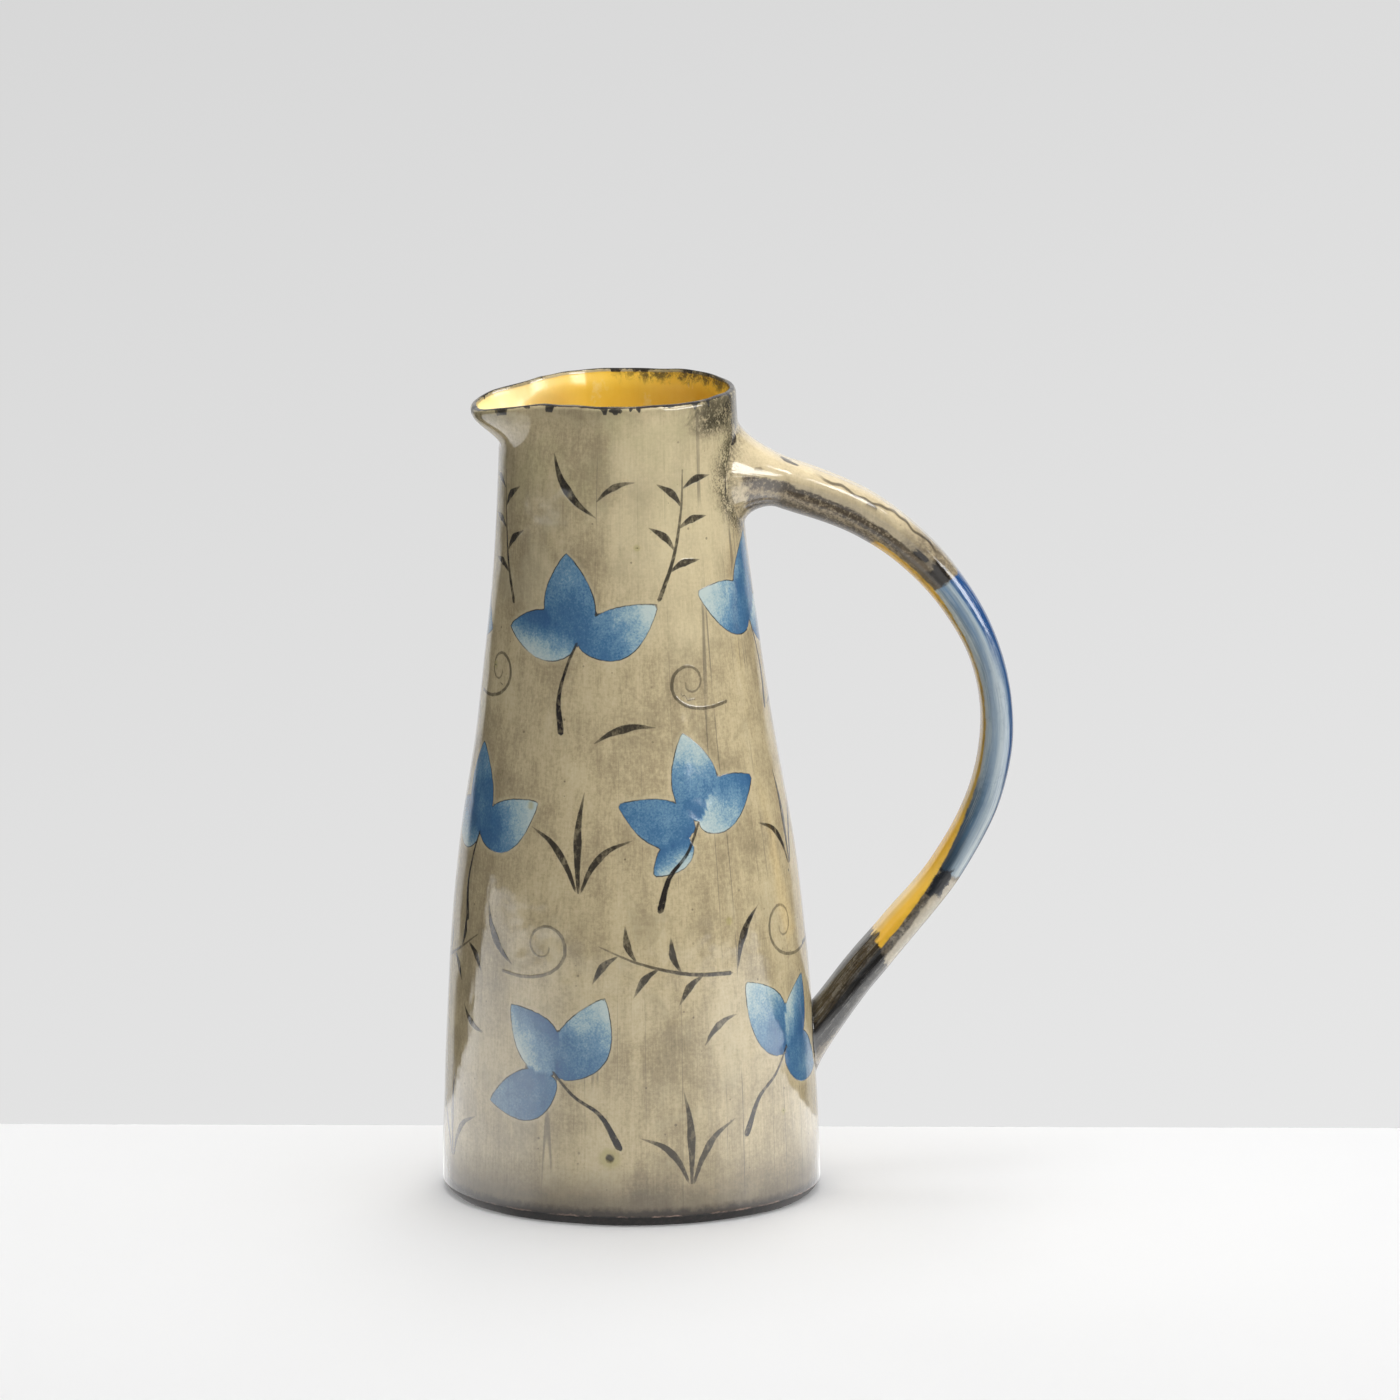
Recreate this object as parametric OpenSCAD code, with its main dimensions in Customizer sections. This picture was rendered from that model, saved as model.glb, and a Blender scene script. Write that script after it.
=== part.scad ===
// Tall hand-built ceramic ewer: a tapered wall on a round base slab, with a
// drawn-out pouring lip set into the rim and a looped strap handle luted on
// at a flared upper root and a pressed lower root. Millimetres, +Z up.
// The origin is the centre of the underside. The lip points to -X and the
// handle to +X.

/* [Body] */
// Height of the rim above the table
rim_h = 250; // [230:1:270]
// Outer radius at the foot
foot_r = 58.4; // [54:0.2:62]
// Outer radius one fifth of the way up
low_r = 56.4; // [52:0.1:60]
// Outer radius two fifths of the way up
belly_r = 52.5; // [48:0.1:56]
// Outer radius three fifths of the way up
waist_r = 44.9; // [42:0.1:48]
// Outer radius four fifths of the way up
neck_r = 39; // [37:0.1:42]
// Outer radius at the rim
rim_r = 36.2; // [34:0.1:39]
// Wall thickness at the foot
wall_foot = 4.8; // [4:0.1:6]
// Wall thickness at the rim
wall_rim = 3.2; // [2.6:0.1:4]
// Lean of the body's axis towards the lip, in degrees
lean_deg = 0.95; // [0:0.05:1.5]

/* [Base] */
// Thickness of the base slab
base_t = 6; // [5:0.5:8]
// Height of the bevel round the foot
bevel_h = 3; // [2:0.2:4]
// How far the bevel cuts in under the foot
bevel_in = 2.2; // [1.2:0.2:3]
// Leg of the clay coil pressed into the inside corner
coil_leg = 7; // [5:0.5:9]

/* [Pouring lip] */
// Half the angle of rim that the lip and its pinched flanks take up, in degrees
lip_half = 78; // [74:1:82]
// Height where the lip piece meets the wall
lip_z0 = 220; // [215:1:225]
// How far the beak stands out past the rim circle
lip_reach = 9.2; // [6:0.2:11]
// How far the beak's edge drops below the rim
lip_drop = 4.3; // [3:0.1:6]
// Half the angle of the beak itself, in degrees
beak_half = 42; // [38:1:46]
// How far the flanks beside the beak are pinched in
pinch_in = 3.4; // [2:0.2:5]
// Height over which the throat turns out into the beak
throat_h = 11; // [9:0.5:15]
// Height over which the pinched flanks run out into the wall
pinch_h = 24; // [18:1:27]

/* [Handle] */
// Thickness of the strap at its upper end
strap_t_top = 15.2; // [14:0.2:18]
// Thickness of the strap along its middle
strap_t_mid = 10; // [9:0.1:12]
// Thickness of the strap at its lower end
strap_t_low = 11.4; // [10:0.1:13]
// Width of the strap at its upper end
strap_w_top = 22; // [20:0.5:25]
// Width of the strap half way along
strap_w_mid = 19; // [17:0.5:22]
// Width of the strap at its lower end
strap_w_low = 18.5; // [16:0.5:21]
// Squareness of the strap's section (2 is an ellipse)
strap_n = 2.5; // [2:0.1:3]

/* [Hidden] */
$fn = 96;

STONE = [0.66, 0.61, 0.47];
YELLOW = [0.86, 0.66, 0.20];
BLUE = [0.33, 0.52, 0.70];
CLAY = [0.30, 0.26, 0.23];

// The strap's centreline in the XZ plane, from the wall at the upper root to
// the wall at the lower root. The first and last points lie at the wall and
// only steer the ends: the strap runs from the second to the last but one.
handle_path = [[35.5, 222], [47, 219.6], [72, 209.4], [92.8, 192.4],
               [107.4, 170], [112.8, 146], [109.2, 122], [97.4, 99], [82, 80],
               [69.8, 65.5], [61, 54]];
STRAP_SPANS = len(handle_path) - 3;
RINGS = 36;
SIDES = 24;

// ---------- curves ----------
function mix(a, b, t) = a + (b - a) * t;
function clamp01(t) = min(1, max(0, t));
function ease(t) = let (c = clamp01(t)) c * c * (3 - 2 * c);
function cat(a, b, c, d, t) =
    0.5 * (2 * b + (c - a) * t + (2 * a - 5 * b + 4 * c - d) * t * t
           + (3 * b - a - 3 * c + d) * t * t * t);
function cat_d(a, b, c, d, t) =
    0.5 * ((c - a) + 2 * (2 * a - 5 * b + 4 * c - d) * t
           + 3 * (3 * b - a - 3 * c + d) * t * t);

// Outer radius of the wall at height z, along the body's own axis
KNOTS = [2 * foot_r - low_r - 0.4, foot_r, low_r, belly_r, waist_r, neck_r,
         rim_r, 2 * rim_r - neck_r + 1.2];
function wall_r(z) =
    let (u = max(0, min(4.9999, 5 * z / rim_h)), i = floor(u))
    cat(KNOTS[i], KNOTS[i + 1], KNOTS[i + 2], KNOTS[i + 3], u - i);
function wall_t(z) = mix(wall_foot, wall_rim, clamp01(z / rim_h));

// The wall's section is drawn through stations every 10 mm, and a short way
// below the table so that the foot can be cut level.
STATIONS = [for (z = [0 : 10 : rim_h - 1]) z];
RIM_RR = wall_rim / 2;
RIM_Z = rim_h - RIM_RR;
SLOPE0 = (wall_r(10) - wall_r(0)) / 10;
OUT_LINE = concat([[-6, wall_r(0) - 6 * SLOPE0]],
                  [for (z = STATIONS) [z, wall_r(z)]],
                  [[RIM_Z, wall_r(RIM_Z)]]);
IN_LINE = [for (p = OUT_LINE) [p[0], p[1] - wall_t(p[0])]];
function out_line(z) = lookup(z, OUT_LINE);
function in_line(z) = lookup(z, IN_LINE);

// ---------- lip ----------
// Share of the beak's reach at angle a from the lip's middle. The beak is
// blunt: it stands out almost evenly over its middle.
function beak(a) = 1 - pow(ease((abs(a) - 2) / (beak_half - 2)), 1.35);
// Share of the pinch at angle a, on the flanks between the beak and the rim
function flank(a) =
    pow(max(0, sin(180 * clamp01((abs(a) - 22) / (lip_half - 22)))), 1.2);
function edge_drop(a) = lip_drop * pow(1 - ease((abs(a) - 4) / 44), 1.15);

// One slice of the lip at angle a, as [radius, height] pairs round the section
LIP_ROWS = 13;
LIP_SLICES = 20;
function lip_out(a, z) =
    let (top = RIM_Z - edge_drop(a), d = top - z)
    out_line(lip_z0 + (z - lip_z0) * (RIM_Z - lip_z0) / (top - lip_z0))
    + lip_reach * beak(a) * ease(1 - d / throat_h)
    - pinch_in * flank(a) * ease(1 - d / pinch_h);
function lip_slice(a) =
    let (top = RIM_Z - edge_drop(a),
         zs = [for (k = [0 : LIP_ROWS]) mix(lip_z0, top, k / LIP_ROWS)],
         mid = lip_out(a, top) - RIM_RR)
    concat([for (z = zs) [lip_out(a, z), z]],
           [for (k = [1 : 5]) let (f = 180 * k / 6)
            [mid + RIM_RR * cos(f), top + RIM_RR * sin(f)]],
           [for (k = [LIP_ROWS : -1 : 0])
            [lip_out(a, zs[k]) - mix(wall_t(lip_z0), wall_rim, k / LIP_ROWS),
             zs[k]]]);

// ---------- strap ----------
function path_pt(u) =
    let (i = min(STRAP_SPANS - 1, floor(u)), t = u - i)
    cat(handle_path[i], handle_path[i + 1], handle_path[i + 2],
        handle_path[i + 3], t);
function path_dir(u) =
    let (i = min(STRAP_SPANS - 1, floor(u)), t = u - i,
         d = cat_d(handle_path[i], handle_path[i + 1], handle_path[i + 2],
                   handle_path[i + 3], t))
    atan2(d[1], d[0]);
function strap_t(s) = s < 0.46 ? mix(strap_t_top, strap_t_mid, ease(s / 0.46))
                               : mix(strap_t_mid, strap_t_low, ease((s - 0.74) / 0.26));
function strap_w(s) = s < 0.5 ? mix(strap_w_top, strap_w_mid, ease(s / 0.5))
                              : mix(strap_w_mid, strap_w_low, ease((s - 0.5) / 0.5));

// A ring of points about c in the plane square to direction ang in XZ. The
// section's outer and inner halves may differ in depth.
function power(v, n) = sign(v) * pow(abs(v), 2 / n);
function ring(c, ang, outer, inner, w, n) =
    [for (k = [0 : SIDES - 1])
     let (f = 360 * k / SIDES, p = power(cos(f), n) * (cos(f) > 0 ? outer : inner),
          q = power(sin(f), n) * w / 2)
     [c[0] - sin(ang) * p, q, c[1] + cos(ang) * p]];
function strap_ring(s) =
    let (u = s * STRAP_SPANS, t = strap_t(s))
    ring(path_pt(u), path_dir(u), t / 2, t / 2, strap_w(s), strap_n);

// ---------- root lofts ----------
// The flare of a quarter-round fillet, 0 at the strap and 1 at the wall
function flare(t) = 1 - sqrt(1 - clamp01(t) * clamp01(t));
ROOT_STEPS = 9;
UP_END = [31.5, 223];
UP_ANG = -4;
LO_END = [51, 46.5];
LO_ANG = -150;
function upper_ring(t) =
    let (a = path_dir(0), f = flare(t / 0.98))
    ring(mix(path_pt(0), UP_END, t), mix(a, UP_ANG, ease(t)),
         strap_t_top / 2 + 10.5 * f, strap_t_top / 2 + 4.5 * f,
         strap_w_top + 18 * f, mix(strap_n, 2, t));
function lower_ring(t) =
    let (a = path_dir(STRAP_SPANS), f = flare(t / 0.98))
    ring(mix(path_pt(STRAP_SPANS), LO_END, t), mix(a, LO_ANG, ease(t)),
         strap_t_low / 2 + 9 * f, strap_t_low / 2 + 2.6 * f,
         strap_w_low + 6 * f, mix(strap_n, 2.1, t));

// ---------- shared shapes ----------
// A closed solid through a list of rings that hold the same number of points
module loft(rings) {
    n = len(rings[0]);
    m = len(rings);
    pts = [for (r = rings) each r];
    sides = [for (j = [0 : m - 2], k = [0 : n - 1])
             let (a = j * n + k, b = j * n + (k + 1) % n, c = a + n, d = b + n)
             each [[a, d, b], [a, c, d]]];
    caps = [[for (k = [0 : n - 1]) k],
            [for (k = [n - 1 : -1 : 0]) (m - 1) * n + k]];
    polyhedron(points = pts, faces = concat(sides, caps));
}

// Sets the body's leaning axis in the part's upright frame
module leaned() { rotate([0, -lean_deg, 0]) children(); }

// All that lies below the table
module under_table() { translate([-100, -100, -40]) cube([200, 200, 40]); }

// The outside of the wall as a filled solid, for what sits against it
module wall_outside() {
    leaned() rotate_extrude()
        polygon(concat([[0, -6]], [for (p = OUT_LINE) [p[1], p[0]]],
                       [[0, RIM_Z]]));
}

// The sector of the rim that the lip takes the place of
module lip_sector() {
    translate([0, 0, lip_z0]) linear_extrude(rim_h)
        polygon([[0, 0], [-90 * cos(lip_half), 90 * sin(lip_half)],
                 [-90, 90 * sin(lip_half)], [-90, -90 * sin(lip_half)],
                 [-90 * cos(lip_half), -90 * sin(lip_half)]]);
}

// ---------- pieces ----------
// The tapered wall: one sheet of clay with a rounded rim, a level foot with a
// bevelled edge, and a cut in the rim for the lip
module body_wall() {
    mid = wall_r(RIM_Z) - RIM_RR;
    color(STONE) difference() {
        difference() {
            leaned() rotate_extrude()
                polygon(concat(
                    [[out_line(bevel_h) - bevel_in * (bevel_h + 2) / bevel_h, -2],
                     [out_line(bevel_h), bevel_h]],
                    [for (p = OUT_LINE) if (p[0] > bevel_h) [p[1], p[0]]],
                    [for (k = [1 : 5]) let (f = 180 * k / 6)
                     [mid + RIM_RR * cos(f), RIM_Z + RIM_RR * sin(f)]],
                    [for (k = [len(IN_LINE) - 1 : -1 : 1])
                     [IN_LINE[k][1], IN_LINE[k][0]]],
                    [[in_line(-2), -2]]));
            leaned() lip_sector();
        }
        under_table();
    }
}

// The round slab that closes the foot, cut to the inside of the wall
module base_slab() {
    color(CLAY) difference() {
        leaned() rotate_extrude()
            polygon(concat([[0, -6]], [for (p = IN_LINE) if (p[0] < 25) [p[1], p[0]]],
                           [[0, 20]]));
        under_table();
        translate([-100, -100, base_t]) cube([200, 200, 60]);
    }
}

// The coil of soft clay pressed into the inside corner to seal the base
module base_seam_coil() {
    top = base_t + coil_leg;
    color(YELLOW) difference() {
        leaned() rotate_extrude()
            polygon(concat(
                [[in_line(2) - coil_leg - 3, 2], [in_line(2), 2]],
                [[in_line(10), 10], [in_line(top), top]],
                [for (k = [1 : 5]) let (f = 90 * k / 6)
                 [in_line(top) - coil_leg * (1 - cos(f)),
                  top - coil_leg * sin(f)]],
                [[in_line(top) - coil_leg - 2, base_t + 0.2]]));
        translate([-100, -100, base_t - 60]) cube([200, 200, 60]);
    }
}

// The drawn-out beak between its pinched flanks, butted into the cut in the rim
module pouring_lip() {
    color(STONE) leaned()
        loft([for (k = [-LIP_SLICES : LIP_SLICES])
              let (a = lip_half * sign(k) * pow(abs(k) / LIP_SLICES, 1.2))
              [for (p = lip_slice(a))
               [-p[0] * cos(a), p[0] * sin(a), p[1]]]]);
}

// The pulled strap between the two roots
module handle_strap() {
    color(BLUE) loft([for (k = [0 : RINGS]) strap_ring(k / RINGS)]);
}

// The thumbed-out wad of clay that carries the strap's upper end
module handle_upper_root() {
    color(STONE) difference() {
        loft([for (k = [0 : ROOT_STEPS]) upper_ring(k / ROOT_STEPS)]);
        wall_outside();
    }
}

// The strap's lower end, pressed on to the wall and smeared down below it
module handle_lower_root() {
    color(CLAY) difference() {
        loft([for (k = [0 : ROOT_STEPS]) lower_ring(k / ROOT_STEPS)]);
        wall_outside();
    }
}

body_wall();
base_slab();
base_seam_coil();
pouring_lip();
handle_strap();
handle_upper_root();
handle_lower_root();
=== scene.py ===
import math

import bpy
import numpy as np
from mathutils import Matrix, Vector

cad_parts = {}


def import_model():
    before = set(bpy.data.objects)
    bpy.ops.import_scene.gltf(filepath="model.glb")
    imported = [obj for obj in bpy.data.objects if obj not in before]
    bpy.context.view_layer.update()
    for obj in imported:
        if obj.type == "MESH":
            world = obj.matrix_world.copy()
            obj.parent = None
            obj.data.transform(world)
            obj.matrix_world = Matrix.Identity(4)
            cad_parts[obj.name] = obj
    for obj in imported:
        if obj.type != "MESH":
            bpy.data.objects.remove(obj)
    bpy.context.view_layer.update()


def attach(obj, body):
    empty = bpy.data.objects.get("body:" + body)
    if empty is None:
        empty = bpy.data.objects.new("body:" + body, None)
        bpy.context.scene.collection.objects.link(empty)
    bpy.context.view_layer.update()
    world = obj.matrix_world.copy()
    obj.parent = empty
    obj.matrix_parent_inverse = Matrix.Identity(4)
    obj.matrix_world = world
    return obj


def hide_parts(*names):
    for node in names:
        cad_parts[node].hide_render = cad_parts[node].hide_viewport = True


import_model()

MM = 0.001
RNG = np.random.default_rng(7)

# ------------------------------------------------------------------ curves
RIM_H = 250.0
FOOT_R, LOW_R, BELLY_R, WAIST_R, NECK_R, RIM_R = 58.4, 56.4, 52.5, 44.9, 39.0, 36.2
WALL_FOOT, WALL_RIM = 4.8, 3.2
LEAN = math.radians(0.95)
BASE_T, BEVEL_H, BEVEL_IN, COIL_LEG = 6.0, 3.0, 2.2, 7.0
LIP_HALF, LIP_Z0, LIP_REACH, LIP_DROP, BEAK_HALF = 78.0, 220.0, 9.2, 4.3, 42.0
PINCH_IN, THROAT_H, PINCH_H = 3.4, 11.0, 24.0
RIM_RR = WALL_RIM / 2
RUB_IN, RUB_H = 1.0, 5.0                   # how far the rim's inner edge is rubbed back, and how far down
RIM_Z = RIM_H - RIM_RR
KNOTS = np.array([2 * FOOT_R - LOW_R - 0.4, FOOT_R, LOW_R, BELLY_R, WAIST_R, NECK_R, RIM_R,
                  2 * RIM_R - NECK_R + 1.2])


def mix(a, b, t):
    return a + (b - a) * t


def ease(t):
    t = np.clip(t, 0, 1)
    return t * t * (3 - 2 * t)


def cat(a, b, c, d, t):
    return 0.5 * (2 * b + (c - a) * t + (2 * a - 5 * b + 4 * c - d) * t * t
                  + (3 * b - a - 3 * c + d) * t ** 3)


def cat_d(a, b, c, d, t):
    return 0.5 * ((c - a) + 2 * (2 * a - 5 * b + 4 * c - d) * t + 3 * (3 * b - a - 3 * c + d) * t * t)


def wall_r(z):
    u = np.clip(5 * np.asarray(z, float) / RIM_H, 0, 4.9999)
    i = u.astype(int)
    return cat(KNOTS[i], KNOTS[i + 1], KNOTS[i + 2], KNOTS[i + 3], u - i)


def wall_t(z):
    return mix(WALL_FOOT, WALL_RIM, np.clip(np.asarray(z, float) / RIM_H, 0, 1))


def hand(a, z):
    """The unevenness of a hand-built wall, in mm, at angle a (degrees) and height z."""
    t = np.radians(a)
    body = (0.20 * np.sin(2 * t + 0.8 + z / 70) + 0.13 * np.sin(3 * t - 1.3 + z / 45)
            + 0.08 * np.sin(5 * t + 2.1 - z / 28) + 0.04 * np.sin(9 * t - z / 17)
            + 0.05 * np.sin(z / 8.5 + 1.7 * np.sin(t)) + 0.035 * np.sin(11 * t + z / 6.3))
    bow = -0.36 * np.cos(t) * ease(z / 70) * ease((238 - z) / 60)
    return body * ease(z / 14) + bow


def beak(a):
    return 1 - np.power(ease((np.abs(a) - 2) / (BEAK_HALF - 2)), 1.35)


def flank(a):
    return np.power(np.maximum(0, np.sin(np.pi * np.clip((np.abs(a) - 22) / (LIP_HALF - 22), 0, 1))), 1.2)


def edge_drop(a):
    return LIP_DROP * np.power(1 - ease((np.abs(a) - 4) / 44), 1.15)


def rim_wave(a):
    t = np.radians(a)
    return (0.12 + 0.30 * np.sin(t) + 0.20 * np.sin(3 * t + 0.4) + 0.15 * np.sin(5 * t + 1.9) + 0.09 * np.sin(9 * t - 0.6)
            + 0.06 * np.sin(17 * t + 1.1))


def wrapped(a):
    return (np.asarray(a, float) + 180.0) % 360.0 - 180.0


def rim_top(a):
    return RIM_Z - edge_drop(wrapped(a)) + rim_wave(a)


def outer_r(a, z):
    """Outer radius at angle a in degrees from the lip and height z, along the body's own axis."""
    aw = wrapped(a)
    top = rim_top(a)
    d = top - z
    zz = np.where(z > LIP_Z0, LIP_Z0 + (z - LIP_Z0) * (RIM_Z - LIP_Z0) / (top - LIP_Z0), z)
    return (wall_r(zz) + LIP_REACH * beak(aw) * ease(1 - d / THROAT_H)
            - PINCH_IN * flank(aw) * ease(1 - d / PINCH_H) + hand(a, z))


def place(r, a, z):
    """Body coordinates to the part's frame: the axis leans towards the lip and the foot stays level."""
    t = np.radians(a)
    x, y = -r * np.cos(t), r * np.sin(t)
    c, s = math.cos(LEAN), math.sin(LEAN)
    return np.stack([x * c - z * s, y + 0 * z, z * c + x * s * ease(z / 40.0)], -1)


def wall_point(a, z, off=0.0):
    return place(outer_r(a, z) + off, a, z)


def wall_normal(a, z):
    e = 0.05
    du = wall_point(a + e, z) - wall_point(a - e, z)
    dv = wall_point(a, z + e) - wall_point(a, z - e)
    n = np.cross(dv, du)
    return n / np.linalg.norm(n, axis=-1, keepdims=True)


# ------------------------------------------------------------------ mesh helpers
def grid_faces(rows, cols, close_rows, close_cols):
    """Quads of a grid of rows x cols vertices, wound so that a wall's outside faces out."""
    i = np.arange(rows if close_rows else rows - 1)
    j = np.arange(cols if close_cols else cols - 1)
    ii, jj = np.meshgrid(i, j, indexing="ij")
    i1, j1 = (ii + 1) % rows, (jj + 1) % cols
    return np.stack([ii * cols + jj, i1 * cols + jj, i1 * cols + j1, ii * cols + j1], -1).reshape(-1, 4)


def vertex_normals(co, quads):
    """Smooth normals of a quad mesh, by the area of its faces."""
    p = co[quads]
    n = np.cross(p[:, 2] - p[:, 0], p[:, 3] - p[:, 1])
    out = np.zeros_like(co)
    for k in range(4):
        np.add.at(out, quads[:, k], n)
    return out / np.maximum(np.linalg.norm(out, axis=1, keepdims=True), 1e-12)


def edge_keys(faces, n):
    """One number for each edge of each face."""
    out = []
    for f in faces:
        for u, v in zip(f, f[1:] + f[:1]):
            out.append(min(u, v) * n + max(u, v))
    return np.array(out)


def make_piece(name, co, faces, normals, flat_faces=(), attrs=None, material=None, uv=None):
    """A mesh object from points in mm. faces and flat_faces index co; flat faces keep their own normal.
    uv has a place on the bake's map for each corner of each of the faces, below 0.96 in height."""
    smooth = [list(map(int, f)) for f in faces]
    flat_f = [list(map(int, f)) for f in flat_faces]
    every = smooth + flat_f
    used = np.unique(np.concatenate([np.asarray(f) for f in every]))
    back = np.full(len(co), -1)
    back[used] = np.arange(len(used))
    smooth = [[int(back[v]) for v in f] for f in smooth]
    flat_f = [[int(back[v]) for v in f] for f in flat_f]
    mesh = bpy.data.meshes.new(name)
    mesh.from_pydata((co[used] * MM).tolist(), [], smooth + flat_f)
    mesh.update()
    mesh.polygons.foreach_set("use_smooth", np.ones(len(mesh.polygons), bool))
    loops = np.zeros(len(mesh.loops), np.int32)
    mesh.loops.foreach_get("vertex_index", loops)
    n = normals[used][loops]
    if flat_f:
        ev = np.zeros(2 * len(mesh.edges), np.int64)
        mesh.edges.foreach_get("vertices", ev)
        ev = ev.reshape(-1, 2)
        keys = ev.min(1) * len(used) + ev.max(1)
        sharp = np.isin(keys, edge_keys(flat_f, len(used))) & np.isin(keys, edge_keys(smooth, len(used)))
        layer = mesh.attributes.new("sharp_edge", "BOOLEAN", "EDGE")
        layer.data.foreach_set("value", sharp)
        for poly in mesh.polygons[len(smooth):]:
            n[poly.loop_start:poly.loop_start + poly.loop_total] = poly.normal
    mesh.normals_split_custom_set(n.tolist())
    for key, val in (attrs or {}).items():
        val = np.asarray(val, np.float32)[used]
        kind = "FLOAT_VECTOR" if val.ndim == 2 else "FLOAT"
        layer = mesh.attributes.new(key, kind, "POINT")
        layer.data.foreach_set("vector" if val.ndim == 2 else "value", val.ravel())
    if uv is not None:
        places = [np.asarray(c, float) for c in uv]
        corner = {3: [(0, 0), (1, 0), (0.5, 1)], 4: [(0, 0), (1, 0), (1, 1), (0, 1)]}
        for k, f in enumerate(flat_f):
            cell = 0.9 / len(flat_f)
            places.append(np.array([(0.02 + (k * cell + 0.1 * cell + 0.8 * cell * x) / 0.94, 0.97 + 0.02 * y) for x, y in corner[len(f)]]))
        layer = mesh.uv_layers.new(name="OFBake")
        layer.data.foreach_set("uv", np.concatenate(places).astype(np.float32).ravel())
    obj = bpy.data.objects.new(name, mesh)
    bpy.context.scene.collection.objects.link(obj)
    if material is not None:
        mesh.materials.append(material)
    return obj


def grid_uv(us, vs, rows, cols, close_rows, close_cols):
    """Places on the bake's map for grid_faces: us and vs run from 0 to 1, with one more value where the grid closes."""
    i = np.arange(rows if close_rows else rows - 1)
    j = np.arange(cols if close_cols else cols - 1)
    ii, jj = np.meshgrid(i, j, indexing="ij")

    def at(a, b):
        return np.stack([0.01 + 0.98 * us[b], 0.01 + 0.94 * vs[a]], -1)
    return np.stack([at(ii, jj), at(ii + 1, jj), at(ii + 1, jj + 1), at(ii, jj + 1)], 2).reshape(-1, 4, 2)


# ------------------------------------------------------------------ body grid
LIP_COLS, REST_COLS = 168, 184
ANGLES = np.concatenate([np.linspace(-LIP_HALF, LIP_HALF, LIP_COLS + 1)[:-1],
                         np.linspace(LIP_HALF, 360 - LIP_HALF, REST_COLS + 1)[:-1]])
NC = len(ANGLES)
TOP_ROWS, RIM_ROWS, OUT_ROWS, IN_ROWS = 26, 11, 150, 40

rows_r, rows_z = [], []


def add_row(r, z):
    rows_r.append(np.broadcast_to(r, (NC,)).astype(float))
    rows_z.append(np.broadcast_to(z, (NC,)).astype(float))


A = ANGLES
foot_out = outer_r(A, np.full(NC, BEVEL_H))
in0 = wall_r(0.0) - wall_t(0.0)
bev = foot_out - BEVEL_IN + 0.18 * np.sin(np.radians(7 * A)) + 0.12 * np.sin(np.radians(13 * A + 40))
for k in range(3):                         # the level underside of the wall
    add_row(mix(in0, bev - 0.5, k / 2), 0.0)
add_row(bev - 0.16, 0.10)
for k in range(1, 5):                      # the bevel round the foot
    f = k / 5
    add_row(mix(bev, foot_out, f) + 0.10 * math.sin(math.pi * f), BEVEL_H * f)
add_row(foot_out - 0.10, BEVEL_H - 0.06)
add_row(foot_out + 0.02, BEVEL_H + 0.45)
for z in np.linspace(BEVEL_H + 1.2, LIP_Z0, OUT_ROWS):
    add_row(outer_r(A, np.full(NC, z)), z)
ROW_OUT0 = len(rows_r) - 1                 # the row where the lip piece meets the wall, outside
TOP = rim_top(A)
for k in range(1, TOP_ROWS + 1):
    z = mix(LIP_Z0, TOP, k / TOP_ROWS)
    add_row(outer_r(A, z), z)
ROW_CREST0 = len(rows_r)
mid = outer_r(A, TOP) - RIM_RR
for k in range(1, RIM_ROWS + 1):
    f = math.pi * k / (RIM_ROWS + 1)
    add_row(mid + (RIM_RR if k <= RIM_ROWS / 2 else RIM_RR - RUB_IN) * math.cos(f), TOP + RIM_RR * math.sin(f))
for k in range(TOP_ROWS, -1, -1):
    z = mix(LIP_Z0, TOP, k / TOP_ROWS)
    rub = RUB_IN * np.clip(1 - (TOP - z) / RUB_H, 0, 1) ** 2
    add_row(outer_r(A, z) - mix(wall_t(LIP_Z0), WALL_RIM, k / TOP_ROWS) + rub, z)
ROW_IN0 = len(rows_r) - 1                  # the same, inside
for z in np.linspace(LIP_Z0, 0.0, IN_ROWS + 1)[1:-1]:
    add_row(outer_r(A, np.full(NC, z)) - wall_t(z), z)
add_row(in0, 0.02)

GR, GZ = np.array(rows_r), np.array(rows_z)
NR = len(GR)
GA = np.broadcast_to(A, GR.shape)
body_co = place(GR, GA, GZ).reshape(-1, 3)
body_quads = grid_faces(NR, NC, True, True)
body_n = vertex_normals(body_co, body_quads)

# Which quads belong to the lip: its columns, between the two rows at LIP_Z0 over the crest
q_row, q_col = np.divmod(np.arange(NR * NC), NC)
in_lip = (q_col < LIP_COLS) & (q_row >= ROW_OUT0) & (q_row < ROW_IN0)


def vid(i, j):
    return i * NC + (j % NC)


def lip_cut(sign):
    """The butt faces of the cut: under the lip, and at its two sides."""
    faces = []
    for j in range(LIP_COLS):
        f = [vid(ROW_OUT0, j), vid(ROW_OUT0, j + 1), vid(ROW_IN0, j + 1), vid(ROW_IN0, j)]
        faces.append(f if sign > 0 else f[::-1])
    span = ROW_IN0 - ROW_OUT0
    for j, turn in ((0, 1), (LIP_COLS, -1)):
        for k in range((span + 1) // 2):
            a, b = ROW_OUT0 + k, ROW_OUT0 + k + 1
            c, d = ROW_IN0 - k - 1, ROW_IN0 - k
            f = [vid(a, j), vid(d, j), vid(c, j), vid(b, j)]
            f = list(dict.fromkeys(f))
            if len(f) > 2:
                faces.append(f if sign * turn > 0 else f[::-1])
    return faces


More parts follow.
